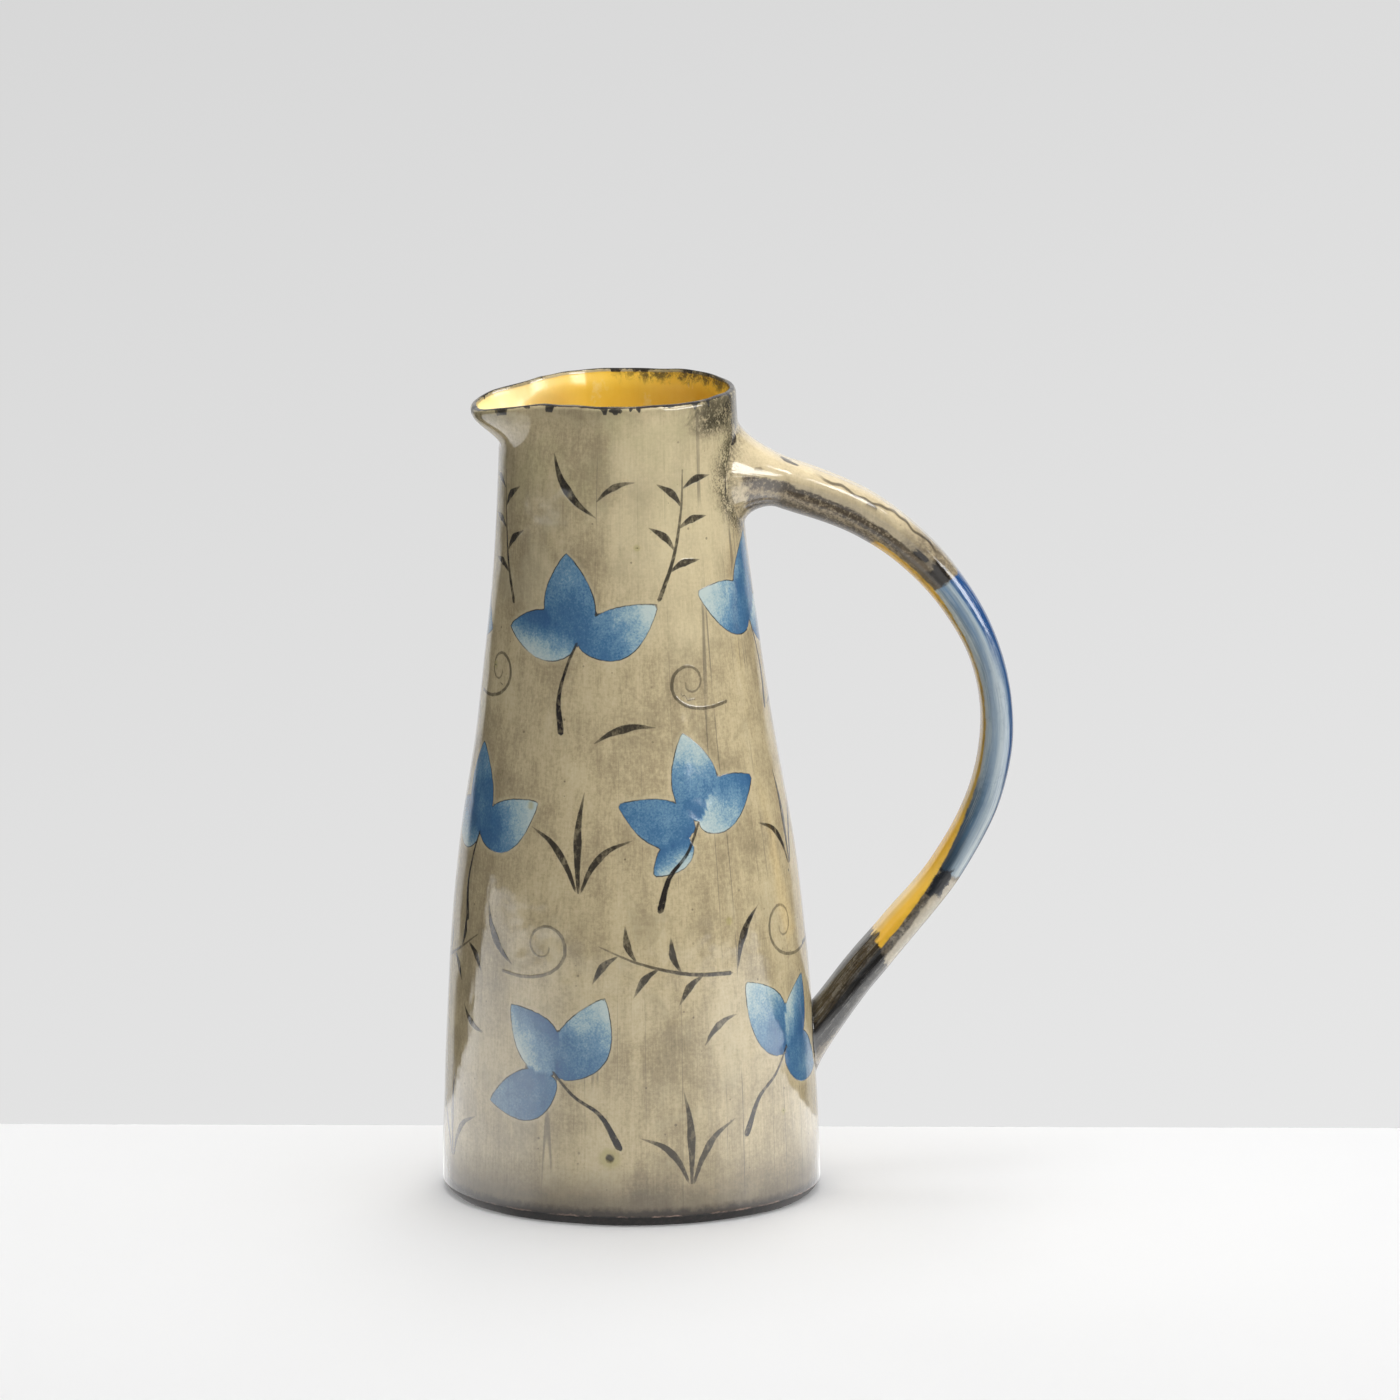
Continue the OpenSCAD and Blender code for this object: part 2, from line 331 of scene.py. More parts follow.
# Arc length from the rim's crest along each section, positive outside
step = np.linalg.norm(np.diff(body_co.reshape(NR, NC, 3), axis=0), axis=2)
run = np.concatenate([np.zeros((1, NC)), np.cumsum(step, 0)], 0)
crest = ROW_CREST0 + RIM_ROWS // 2
rim_s = (run[crest][None, :] - run).reshape(-1)
row_of = np.repeat(np.arange(NR), NC)
inside = np.where(row_of >= ROW_CREST0 + RIM_ROWS - 1, 1.0, 0.0)

# ------------------------------------------------------------------ painted decoration
# Leaf sprigs and grass strokes, laid out in rows round the body. Each mark is drawn in the flat about an
# anchor (angle, height): u runs to the right as seen from outside, v runs up.
surf = (row_of <= ROW_CREST0) & (row_of >= 8)
sv = np.nonzero(surf)[0]
sa, sz, sr = GA.reshape(-1)[sv], GZ.reshape(-1)[sv], GR.reshape(-1)[sv]
N_LAYERS = 6
stroke_layers = [np.tile(np.array([9.0, -9.0, 0.0]), (len(body_co), 1)) for _ in range(N_LAYERS)]
claimed = [np.zeros(len(body_co), bool) for _ in range(N_LAYERS)]
leaf_sd = np.full(len(body_co), 6.0)
leaf_tone = np.zeros(len(body_co))
leaf_mid = np.full(len(body_co), 6.0)


def flat(a0, z0):
    return np.stack([-np.radians(wrapped(sa - a0)) * sr, sz - z0], -1)


def curve(points, n=28):
    p = np.array(points, float)
    if len(p) == 2:
        return mix(p[0], p[1], np.linspace(0, 1, n)[:, None])
    p = np.concatenate([[2 * p[0] - p[1]], p, [2 * p[-1] - p[-2]]])
    out = []
    spans = len(p) - 3
    for u in np.linspace(0, spans - 1e-6, n):
        i = int(u)
        out.append(cat(p[i], p[i + 1], p[i + 2], p[i + 3], u - i))
    return np.array(out)


def turned(points, deg, flip=False, scale=1.0):
    t = math.radians(deg)
    p = np.array(points, float) * scale
    if flip:
        p = p * np.array([-1, 1])
    return p @ np.array([[math.cos(t), math.sin(t)], [-math.sin(t), math.cos(t)]])


def stroke(a0, z0, points, w0, w1, dark=1.0, wm=None):
    """A brush stroke along points, of half-width w0 at its start and w1 at its end."""
    line = curve(points)
    uv = flat(a0, z0)
    lo, hi = line.min(0) - 9, line.max(0) + 9
    near = np.nonzero(np.all((uv > lo) & (uv < hi), 1))[0]
    if not len(near):
        return
    p = uv[near]
    a, b = line[:-1], line[1:]
    ab = b - a
    seg = np.linalg.norm(ab, axis=1)
    total = seg.sum()
    starts = np.concatenate([[0], np.cumsum(seg)])[:-1]
    ap = p[:, None, :] - a[None]
    t = np.einsum("nij,ij->ni", ap, ab) / (seg ** 2)[None]
    tc = np.clip(t, 0, 1)
    dist = np.linalg.norm(ap - tc[..., None] * ab[None], axis=2)
    k = dist.argmin(1)
    rowi = np.arange(len(p))
    d_true = dist[rowi, k]
    side = (ab[k, 0] * ap[rowi, k, 1] - ab[k, 1] * ap[rowi, k, 0]) / seg[k]
    past = ((k == 0) & (t[rowi, k] < 0)) | ((k == len(a) - 1) & (t[rowi, k] > 1))
    along = starts[k] + np.where(past, t[rowi, k], tc[rowi, k]) * seg[k]
    f = np.clip(along / total, 0, 1)
    half = mix(w0, w1, f) if wm is None else np.where(f < 0.5, mix(w0, wm, f * 2), mix(wm, w1, f * 2 - 1))
    over = np.maximum(np.maximum(-along, along - total), 0)
    end = np.maximum(half, 0.25)
    half = np.where(over > 0, np.where(over < end, half * np.sqrt(np.clip(1 - (over / end) ** 2, 0, 1)),
                                       -(over - end)), half)
    take = d_true < max(w0, w1, wm or 0.0) + 1.5
    hit, side, half = near[take], side[take], half[take]
    ids = sv[hit]
    for layer in range(N_LAYERS):
        if not claimed[layer][ids].any():
            claimed[layer][ids] = True
            stroke_layers[layer][ids] = np.stack([side, half, np.full(len(ids), dark)], 1)
            return
    raise RuntimeError("too many strokes lie close together")


def leaf(a0, z0, base, deg, length, width, fade):
    """A pointed leaf from base, growing towards deg (0 is right, 90 is up). fade says where its colour thins out:
    at the tip, at the base, along one side or hardly."""
    uv = flat(a0, z0)
    t = math.radians(deg)
    q = uv - np.array(base)
    x = q[:, 0] * math.cos(t) + q[:, 1] * math.sin(t)
    y = -q[:, 0] * math.sin(t) + q[:, 1] * math.cos(t)
    y = y - 0.05 * length * np.sin(np.clip(x / length, 0, 1) * math.pi) * (1 if fade % 2 else -1)
    near = np.nonzero((x > -8) & (x < length + 8) & (np.abs(y) < width / 2 + 8))[0]
    x, y = x[near] / length, y[near]
    xc = np.clip(x, 0.0, 1.0)

    def half(v):
        v = np.clip(v, 1e-4, 1 - 1e-4)
        return width / 2 * np.sin(math.pi * v ** 0.80) ** 0.84

    slope = (half(np.minimum(xc + 0.01, 1)) - half(np.maximum(xc - 0.01, 0))) / (0.02 * length)
    sd = (np.abs(y) - half(xc)) / np.sqrt(1 + slope ** 2)
    out = np.maximum(-x, x - 1) * length
    sd = np.where(out > 0, np.hypot(out, y), sd)
    yn = np.clip(y / width, -0.6, 0.6)
    tone = (0.10 + 0.95 * xc ** 1.5, 0.92 - 0.95 * xc, 0.42 + 1.0 * yn, 0.16 + 0.22 * xc)[fade]
    mid = np.where((x > 0.04) & (x < 0.78), np.abs(y) + 0.25 * xc, 6.0)
    ids = sv[near]
    better = sd < leaf_sd[ids]
    leaf_sd[ids] = np.where(better, sd, leaf_sd[ids])
    leaf_tone[ids] = np.where(better, tone, leaf_tone[ids])
    leaf_mid[ids] = np.where(better, mid, leaf_mid[ids])


def sprig(a0, z0, deg, flip=False, scale=1.0, kind=0):
    """A brushed stem with broad blue leaves: a trefoil, or leaves by turns along the stem."""
    def P(points):
        return turned(points, deg, flip, scale)

    def D(angle):
        return (180 - angle if flip else angle) + deg * 1.0

    def L(base, angle, length, width, fade):
        leaf(a0, z0, P([base])[0], D(angle), length * scale, width * scale, fade)

    if kind == 0:
        stroke(a0, z0, P([(-11, -25), (-9.5, -15), (-4.6, -6), (0, 0)]), 1.15 * scale, 0.4, wm=0.55)
        L((0.0, -0.5), 84, 28, 17.0, 3)
        L((0.6, -1.6), 14, 27, 15.5, 0)
        L((-0.8, -1.2), 156, 26, 15.0, 2)
    elif kind == 1:
        stroke(a0, z0, P([(7, -27), (6.6, -17), (2.6, -8), (1.0, 2)]), 1.1 * scale, 0.4, wm=0.55)
        L((1.0, 2.0), 66, 27, 16.0, 0)
        L((1.6, -0.6), 2, 25, 14.5, 3)
        L((0.0, 0.0), 132, 26, 15.5, 1)
        L((1.6, -5.0), -52, 16, 9.5, 2)
    else:
        stroke(a0, z0, P([(10, -24), (8.4, -13), (3.0, -5), (-0.6, 4)]), 1.1 * scale, 0.4, wm=0.55)
        L((-0.6, 3.6), 106, 24, 15.0, 2)
        L((0.4, 1.5), 38, 28, 16.5, 0)
        L((-0.4, 0.6), 176, 26, 15.0, 3)


def mark(a0, z0, deg, points, w0, wm, w1, dark=0.95, flip=False, scale=1.0):
    stroke(a0, z0, turned(points, deg, flip, scale), w0, w1, dark, wm=wm)


def blade(a0, z0, deg, length=24.0, w=1.55, bend=2.6, flip=False, dark=0.92):
    """A slim leaf in one touch of the brush, widest in its middle."""
    mark(a0, z0, deg, [(-length / 2, 0), (-length * 0.18, 0.9 * bend), (length * 0.18, bend), (length / 2, 0.2 * bend)], 0.2, w, 0.12, dark, flip)


def tuft(a0, z0, deg, flip=False, scale=1.0, dark=0.9):
    """Three blades of grass from one root."""
    mark(a0, z0, deg, [(0, 0), (0.5, 9), (1.6, 18), (3.8, 26)], 0.45, 1.4, 0.14, dark, flip, scale)
    mark(a0, z0, deg, [(-0.7, 0.3), (-2.8, 7), (-6.6, 13.5), (-12.6, 18)], 0.45, 1.2, 0.14, dark, flip, scale)
    mark(a0, z0, deg, [(0.8, 0.1), (4.2, 6), (9.0, 10.2), (15.6, 12.2)], 0.4, 1.15, 0.14, dark, flip, scale)


def twig(a0, z0, deg, flip=False, scale=1.0, dark=0.88):
    """A thin stem with slim leaves by turns."""
    mark(a0, z0, deg, [(-1.4, -19), (0.6, -7), (0.4, 6), (-1.4, 17)], 0.70, 0.52, 0.24, dark, flip, scale)
    for x, y, s in ((0.2, -11, 1), (0.6, -5, -1), (0.6, 1, 1), (0.3, 7, -1), (-0.2, 12, 1)):
        mark(a0, z0, deg, [(x, y), (x + 3.4 * s, y + 3.0), (x + 8.6 * s, y + 4.8)], 0.25, 1.25, 0.12, dark, flip, scale)


def tendril(a0, z0, deg, flip=False, scale=1.0, dark=0.72):
    """A thin line that winds up into a coil."""
    coil = []
    for t in np.linspace(0, 1, 10):
        r, turn = 9.0 * (1 - 0.80 * t), math.radians(-90 + 450 * t)
        coil.append((r * math.cos(turn), r * math.sin(turn)))
    mark(a0, z0, deg, [(-18, -5.5), (-9, -8.6)] + coil, 0.5, 0.55, 0.26, dark, flip, scale)


for k in range(4):
    sprig(-66 + 90 * k, 178 + (0, 3, -2, 2)[k], (14, -12, 20, -16)[k], flip=bool(k % 2), kind=(0, 2, 1, 0)[k])
    sprig(-113 + 90 * k, 121 + (0, -4, 3, 0)[k], (-18, 16, -8, 20)[k], flip=not k % 2, kind=(1, 0, 2, 1)[k])
    sprig(-63 + 90 * k + (0, 0, 0, 11)[k], 44 + (0, 3, -1, 2)[k], (22, -14, 10, -20)[k], flip=bool(k % 2), kind=(2, 1, 0, 2)[k], scale=1.04)
    # grass, twigs and tendrils between the sprigs
    twig(-112 + 90 * k, 211 + (0, -2, 1, 1)[k], (-14, 12, -9, 16)[k], flip=bool(k % 2), scale=1.12)
    blade(-64 + 90 * k, 226 + (0, -1, 1, 2)[k], (128, 48, 136, 56)[k], flip=not k % 2)
    blade(-84 + 90 * k, 224 + (0, 1, -2, 1)[k], (24, 150, 18, 158)[k], 13, 1.1, 1.6, dark=0.88)
    tendril(-114 + 90 * k, 165 + (0, 2, -1, 1)[k], (-12, 16, -20, 10)[k], flip=not k % 2, scale=0.8)
    blade(-86 + 90 * k, 150 + (0, 2, -2, 1)[k], (12, -16, 20, -10)[k], 19, 1.35, 2.2, dark=0.88)
    tuft(-69 + 90 * k, 103 + (0, 2, -2, 1)[k], (6, -8, 10, -5)[k], flip=bool(k % 2), scale=1.14)
    twig(-97 + 90 * k, 80 + (0, -2, 1, 1)[k], (76, -72, 82, -78)[k], flip=not k % 2, scale=1.2)
    blade(-129 + 90 * k, 86 + (0, 2, -2, 1)[k], (58, 122, 50, 130)[k], 21, 1.45, 2.4)
    tendril(-57 + 90 * k, 86 + (0, -1, 2, 1)[k], (14, -10, 18, -16)[k], flip=bool(k % 2), scale=0.95, dark=0.66)
    tuft(-104 + 90 * k, 13 + (0, 1, 1, 0)[k], (-5, 8, -9, 6)[k], flip=not k % 2, scale=1.08, dark=0.85)
    blade(-116 + 90 * k, 59 + (0, 1, -2, 1)[k], (34, 148, 28, 140)[k], 14, 1.2, 1.8, dark=0.88)

# where the handle's roots stand on the wall, and a few pin holes in the glaze
UP_FOOT, LO_FOOT = (222.0, 17.5, 14.5, 22.5), (46.5, 9.4, 13.0, 10.4)     # height, reach up, reach down, half width
va, vz, vr = GA.reshape(-1), GZ.reshape(-1), GR.reshape(-1)


def round_root(foot):
    zc, up, down, half_w = foot
    arc = np.radians(np.abs(wrapped(va - 180))) * vr
    dz = vz - zc
    rho = np.hypot(arc / half_w, dz / np.where(dz > 0, up, down))
    d = (rho - 1) * 0.5 * (half_w + 0.5 * (up + down))
    return np.where(inside > 0, 30.0, np.clip(d, -6, 30))


hole = np.full(len(body_co), 9.0)
for a0, z0, rad in ((-79, 21.5, 1.6), (-121, 92, 0.6), (-93, 207, 0.5), (-49, 128, 0.6), (12, 40, 0.9), (80, 150, 0.7),
                    (142, 60, 0.95), (-20, 168, 0.6), (40, 212, 0.6), (110, 204, 0.7), (163, 122, 0.7), (-140, 30, 0.55)):
    d = np.hypot(np.radians(wrapped(sa - a0)) * sr, sz - z0) / rad
    hole[sv] = np.minimum(hole[sv], d)

body_attrs = {"inside": inside, "rim_s": np.clip(rim_s, -40, 40),
              "leaf": np.stack([leaf_sd, leaf_tone, leaf_mid], 1),
              "roots": np.stack([round_root(UP_FOOT), round_root(LO_FOOT), hole], 1)}
for k in range(N_LAYERS):
    body_attrs[f"stroke{k}"] = stroke_layers[k]


# ------------------------------------------------------------------ handle grid
PATH = np.array([[35.5, 222], [47, 219.6], [72, 209.4], [92.8, 192.4], [107.4, 170], [112.8, 146], [109.2, 122],
                 [97.4, 99], [82, 80], [69.8, 65.5], [61, 54]])
SPANS = len(PATH) - 3
STRAP_T, STRAP_W = (15.2, 10.0, 11.4), (22.0, 19.0, 18.5)
N_OUT, N_IN = 2.9, 2.1                     # squareness of the section's outer and inner half
SIDES, RINGS, ROOT_RINGS = 72, 200, 28


def path_at(s):
    u = s * SPANS
    i = min(SPANS - 1, int(u))
    t = u - i
    p = cat(PATH[i], PATH[i + 1], PATH[i + 2], PATH[i + 3], t)
    d = cat_d(PATH[i], PATH[i + 1], PATH[i + 2], PATH[i + 3], t)
    return p, math.atan2(d[1], d[0])


def strap_t(s):
    return float(mix(STRAP_T[0], STRAP_T[1], ease(s / 0.46)) if s < 0.46 else mix(STRAP_T[1], STRAP_T[2], ease((s - 0.74) / 0.26)))


def strap_w(s):
    return float(mix(STRAP_W[0], STRAP_W[1], ease(s / 0.5)) if s < 0.5 else mix(STRAP_W[1], STRAP_W[2], ease((s - 0.5) / 0.5)))


F = 2 * np.pi * np.arange(SIDES) / SIDES
CF, SF = np.cos(F), np.sin(F)
CF[np.abs(CF) < 1e-9] = 0
SF[np.abs(SF) < 1e-9] = 0


def power(v, n):
    return np.sign(v) * np.abs(v) ** (2 / n)


FACE = power(CF, np.where(CF > 0, N_OUT, N_IN))        # 1 on the outer face, -1 on the inner face
SIDE = power(SF, np.where(CF > 0, N_OUT, N_IN))


def strap_ring(s):
    c, ang = path_at(s)
    t, w = strap_t(s), strap_w(s)
    wav = 0.10 * math.sin(23 * s + 1.0) + 0.06 * math.sin(61 * s)
    p = FACE * (t / 2 + wav * 0.5)
    q = SIDE * (w / 2 + wav)
    # the shallow grooves that pulling leaves down each side
    deep = 0.75 * (1 - ease((s - 0.16) / 0.16)) * ease(s / 0.05 + 0.4) + 0.14 + 0.4 * ease((s - 0.86) / 0.10)
    at = mix(0.02, -0.12, ease(s))
    q = q - deep * np.exp(-((FACE - at) / 0.24) ** 2) * np.sign(SF)
    p = p - 0.28 * np.exp(-(SIDE / 0.35) ** 2) * np.sign(CF) * (0.4 + 0.6 * math.sin(9 * s) ** 2)
    return np.stack([c[0] - math.sin(ang) * p, q, c[1] + math.cos(ang) * p], -1)


strap_rings = [strap_ring(k / RINGS) for k in range(RINGS + 1)]


def hermite(p0, t0, p1, t1, u):
    u2, u3 = u * u, u ** 3
    return ((2 * u3 - 3 * u2 + 1) * p0 + (u3 - 2 * u2 + u) * t0 + (-2 * u3 + 3 * u2) * p1 + (u3 - u2) * t1)


def root(end_ring, ang_out, foot_at, pull0, pull1_up, pull1_down, pull1_side, flip):
    """Rings from the strap's end ring on to the wall, ending a little way inside it. The foot of the loft is an
    oval on the wall."""
    centre_z, up, down, half_w = foot_at
    vert = CF * (-1 if flip else 1)
    za = centre_z + vert * np.where(vert > 0, up, down)
    r_here = outer_r(np.full(SIDES, 180.0), za)
    aa = 180.0 - np.degrees(power(SF, 2.15) * half_w / r_here)
    foot = wall_point(aa, za)
    nrm = wall_normal(aa, za)
    # outwards along the wall, away from the middle of the oval
    mid_p = wall_point(np.array([180.0]), np.array([centre_z]))[0]
    out = foot - mid_p
    out -= nrm * np.sum(out * nrm, 1, keepdims=True)
    out /= np.maximum(np.linalg.norm(out, axis=1, keepdims=True), 1e-9)
    t0 = np.array([math.cos(ang_out), 0, math.sin(ang_out)]) * pull0
    w_up, w_dn = np.clip(vert, 0, 1) ** 1.3, np.clip(-vert, 0, 1) ** 1.3
    pull1 = pull1_side + (pull1_up - pull1_side) * w_up + (pull1_down - pull1_side) * w_dn
    t1 = out * pull1[:, None] - nrm * 1.2
    rings = [hermite(end_ring, t0[None], foot, t1, u) for u in np.linspace(0, 1, ROOT_RINGS + 1)[1:]]
    rings.append(foot + out * 0.5 - nrm * 0.35)
    rings.append(foot + out * 0.2 - nrm * 1.4)
    for f in (0.75, 0.5, 0.25):            # the end's face follows the wall, so that it stays inside it
        af, zf = 180.0 + (aa - 180.0) * f, centre_z + (za - centre_z) * f
        rings.append(wall_point(af, zf) - wall_normal(af, zf) * 1.4)
    return rings, nrm


up_ang = path_at(0.0)[1] + math.pi
lo_ang = path_at(1.0)[1]
up_rings, up_n = root(strap_rings[0], up_ang, UP_FOOT, 13.0, 16.0, 9.0, 14.0, False)
lo_rings, lo_n = root(strap_rings[-1], lo_ang, LO_FOOT, 14.0, 2.0, 12.0, 3.0, True)
tube = up_rings[::-1] + strap_rings + lo_rings
tube_co = np.array(tube)
NT, UP0, LO0 = len(tube), len(up_rings), len(up_rings) + RINGS
handle_co = tube_co.reshape(-1, 3)
handle_quads = grid_faces(NT, SIDES, False, True)
centre = tube_co.mean(1)
probe = handle_quads[(UP0 + RINGS // 2) * SIDES]
pn = np.cross(handle_co[probe[2]] - handle_co[probe[0]], handle_co[probe[3]] - handle_co[probe[1]])
turn_over = np.dot(pn, handle_co[probe[0]] - centre[UP0 + RINGS // 2]) < 0
if turn_over:
    handle_quads = handle_quads[:, ::-1]
handle_n = vertex_normals(handle_co, handle_quads).reshape(NT, SIDES, 3)
# shading runs on from the wall where a root meets it
for k in range(6):
    handle_n[k] = up_n if k > 2 else -up_n
    handle_n[NT - 1 - k] = lo_n if k > 2 else -lo_n
for k, w in ((6, 0.75), (7, 0.4), (8, 0.15)):
    for i, nn in ((k, up_n), (NT - 1 - k, lo_n)):
        v = handle_n[i] * (1 - w) + nn * w
        handle_n[i] = v / np.linalg.norm(v, axis=1, keepdims=True)
handle_n = handle_n.reshape(-1, 3)

# Path coordinate along the handle, in strap lengths: below 0 on the upper root, above 1 on the lower one
run_h = np.concatenate([[0], np.cumsum(np.linalg.norm(np.diff(centre, axis=0), axis=1))])
strap_len = run_h[LO0] - run_h[UP0]
run_h = (run_h - run_h[UP0]) / strap_len
handle_attrs = {"along": np.repeat(run_h, SIDES), "face": np.tile(FACE, NT), "flank": np.tile(SIDE, NT),
                "strap_mm": np.stack([np.repeat(run_h, SIDES) * strap_len, np.tile(FACE, NT) * 5.5, np.tile(SIDE, NT) * 9.5], 1)}


def tube_piece(name, i0, i1, material):
    quads = handle_quads.reshape(NT - 1, SIDES, 4)[i0:i1].reshape(-1, 4)
    co = np.concatenate([handle_co, tube_co[[i0]].mean(1), tube_co[[i1]].mean(1)])
    nrm = np.concatenate([handle_n, [[0, 0, 1.0]], [[0, 0, 1.0]]])
    att = {k: np.concatenate([v, [v[i0 * SIDES], v[i1 * SIDES]]]) for k, v in handle_attrs.items()}
    caps = []
    for i, c, turn in ((i0, len(handle_co), 1), (i1, len(handle_co) + 1, -1)):
        for j in range(SIDES):
            f = [i * SIDES + j, i * SIDES + (j + 1) % SIDES, c]
            a, b, e = co[f[0]], co[f[1]], co[f[2]]
            out = (tube_co[i].mean(0) - tube_co[i + 12 * turn].mean(0))
            if np.dot(np.cross(b - a, e - a), out) < 0:
                f = f[::-1]
            caps.append(f)
    rows = i1 - i0 + 1
    vs = (run_h[i0:i1 + 1] - run_h[i0]) / (run_h[i1] - run_h[i0])
    vs = mix(vs, np.linspace(0, 1, rows), 0.3)
    uv = grid_uv(np.linspace(0, 1, SIDES + 1), vs, rows, SIDES, False, True)
    if turn_over:
        uv = uv[:, ::-1]
    return make_piece(name, co, quads, nrm, caps, att, material, uv)


# ------------------------------------------------------------------ base
def lathe(name, profile, material, cols=160):
    """A closed solid of revolution about the leaning axis from (radius, height) pairs; a radius of 0 is a pole."""
    ang = np.linspace(0, 360, cols, endpoint=False)
    co, rows = [], []
    for r, z in profile:
        if r == 0:
            rows.append([len(co)] * cols)
            co.append(place(np.zeros(1), np.zeros(1), np.full(1, z))[0])
        else:
            rows.append(list(range(len(co), len(co) + cols)))
            co.extend(place(np.full(cols, r), ang, np.full(cols, z)))
    co = np.array(co)
    faces, uv = [], []
    n = len(profile)
    for i in range(n):
        a, b = rows[i], rows[(i + 1) % n]
        if len(set(a)) == 1 and len(set(b)) == 1:
            continue
        for j in range(cols):
            quad = [(a[j], (j, i)), (b[j], (j, i + 1)), (b[(j + 1) % cols], (j + 1, i + 1)), (a[(j + 1) % cols], (j + 1, i))]
            seen, f, c = set(), [], []
            for v, at in quad:
                if v not in seen:
                    seen.add(v)
                    f.append(v)
                    c.append((0.01 + 0.98 * at[0] / cols, 0.01 + 0.94 * at[1] / n))
            faces.append(f)
            uv.append(c)
    normals = np.zeros_like(co)
    for f in faces:
        p = co[f]
        nn = np.cross(p[1] - p[0], p[2] - p[0]) if len(f) == 3 else np.cross(p[2] - p[0], p[3] - p[1])
        normals[f] += nn
    normals /= np.maximum(np.linalg.norm(normals, axis=1, keepdims=True), 1e-12)
    return make_piece(name, co, faces, normals, (), None, material, uv)


def slab_profile():
    r0, r6 = float(wall_r(0.0) - wall_t(0.0)), float(wall_r(BASE_T) - wall_t(BASE_T))
    under = [(0, 0.0)] + [(r0 * f, 0.0) for f in (0.2, 0.4, 0.6, 0.8, 0.95)] + [(r0 - 0.35, 0.0)]
    edge = [(r0 - 0.05, 0.3), (mix(r0, r6, 0.5) - 0.05, BASE_T / 2), (r6 - 0.05, BASE_T - 0.2)]
    top = [(r6 - 0.25, BASE_T)] + [(r6 * f, BASE_T + 0.12 * math.cos(9 * f)) for f in (0.95, 0.8, 0.6, 0.4, 0.2)] + [(0, BASE_T)]
    return under + edge + top


def coil_profile():
    z1 = BASE_T + COIL_LEG
    r_in = lambda z: float(wall_r(z) - wall_t(z))
    pts = [(r_in(BASE_T) - COIL_LEG - 1.6, BASE_T - 0.3), (r_in(BASE_T) - 2, BASE_T - 0.3), (r_in(BASE_T) + 0.4, BASE_T - 0.3),
           (r_in(z1) + 0.4, z1)]
    for k in range(0, 13):
        f = 0.5 * math.pi * k / 12
        pts.append((r_in(z1) - COIL_LEG * (1 - math.cos(f)) + 0.15 * math.cos(f), z1 + 0.3 - (COIL_LEG + 0.2) * math.sin(f)))
    return pts


# ------------------------------------------------------------------ shader helpers
class Nodes:
    """Short names for the shader nodes used here. Values may be sockets or plain numbers."""

    def __init__(self, tree):
        self.tree = tree

    def put(self, sock, val):
        if isinstance(val, bpy.types.NodeSocket):
            self.tree.links.new(val, sock)
        elif val is not None:
            if sock.type == "RGBA" and len(val) == 3:
                val = (*val, 1.0)
            sock.default_value = val

    def new(self, kind, **props):
        n = self.tree.nodes.new(kind)
        for k, v in props.items():
            setattr(n, k, v)
        return n

    def m(self, op, a, b=None, c=None, clamp=False):
        n = self.new("ShaderNodeMath", operation=op, use_clamp=clamp)
        for i, v in enumerate((a, b, c)):
            if v is not None:
                self.put(n.inputs[i], v)
        return n.outputs[0]

    def add(self, a, b):
        return self.m("ADD", a, b)

    def sub(self, a, b):
        return self.m("SUBTRACT", a, b)

    def mul(self, a, b):
        return self.m("MULTIPLY", a, b)

    def band(self, v, a, b, lo=0.0, hi=1.0, smooth=True):
        n = self.new("ShaderNodeMapRange", interpolation_type="SMOOTHSTEP" if smooth else "LINEAR", clamp=True)
        for i, x in enumerate((v, a, b, lo, hi)):
            self.put(n.inputs[i], x)
        return n.outputs[0]

    def color(self, fac, a, b, blend="MIX"):
        n = self.new("ShaderNodeMix", data_type="RGBA", blend_type=blend)
        n.clamp_factor = True
        self.put(n.inputs[0], fac)
        self.put(n.inputs[6], a)
        self.put(n.inputs[7], b)
        return n.outputs[2]

    def mixf(self, fac, a, b):
        n = self.new("ShaderNodeMix", data_type="FLOAT")
        self.put(n.inputs[0], fac)
        self.put(n.inputs[2], a)
        self.put(n.inputs[3], b)
        return n.outputs[0]

    def scaled(self, v, s, off=(0, 0, 0)):
        n = self.new("ShaderNodeVectorMath", operation="MULTIPLY_ADD")
        self.put(n.inputs[0], v)
        n.inputs[1].default_value = s
        n.inputs[2].default_value = off
        return n.outputs[0]

    def noise(self, v, scale=1.0, detail=2.0, rough=0.5, warp=0.0, colour=False):
        n = self.new("ShaderNodeTexNoise")
        self.put(n.inputs["Vector"], v)
        n.inputs["Scale"].default_value = scale
        n.inputs["Detail"].default_value = detail
        n.inputs["Roughness"].default_value = rough
        n.inputs["Distortion"].default_value = warp
        return n.outputs["Color" if colour else "Fac"]

    def cells(self, v, scale, out="Distance", feature="F1", rand=1.0):
        n = self.new("ShaderNodeTexVoronoi", feature=feature)
        self.put(n.inputs["Vector"], v)
        n.inputs["Scale"].default_value = scale
        n.inputs["Randomness"].default_value = rand
        return n

    def attr(self, name, vector=False):
        n = self.new("ShaderNodeAttribute", attribute_name=name, attribute_type="GEOMETRY")
        return n.outputs["Vector" if vector else "Fac"]

    def split(self, v):
        n = self.new("ShaderNodeSeparateXYZ")
        self.put(n.inputs[0], v)
        return n.outputs

    def ramp(self, v, stops, interp="LINEAR"):
        n = self.new("ShaderNodeValToRGB")
        n.color_ramp.interpolation = interp
        el = n.color_ramp.elements
        while len(el) < len(stops):
            el.new(0.5)
        for e, (p, c) in zip(el, stops):
            e.position = p
            e.color = (*c, 1.0)
        self.put(n.inputs[0], v)
        return n.outputs[0]


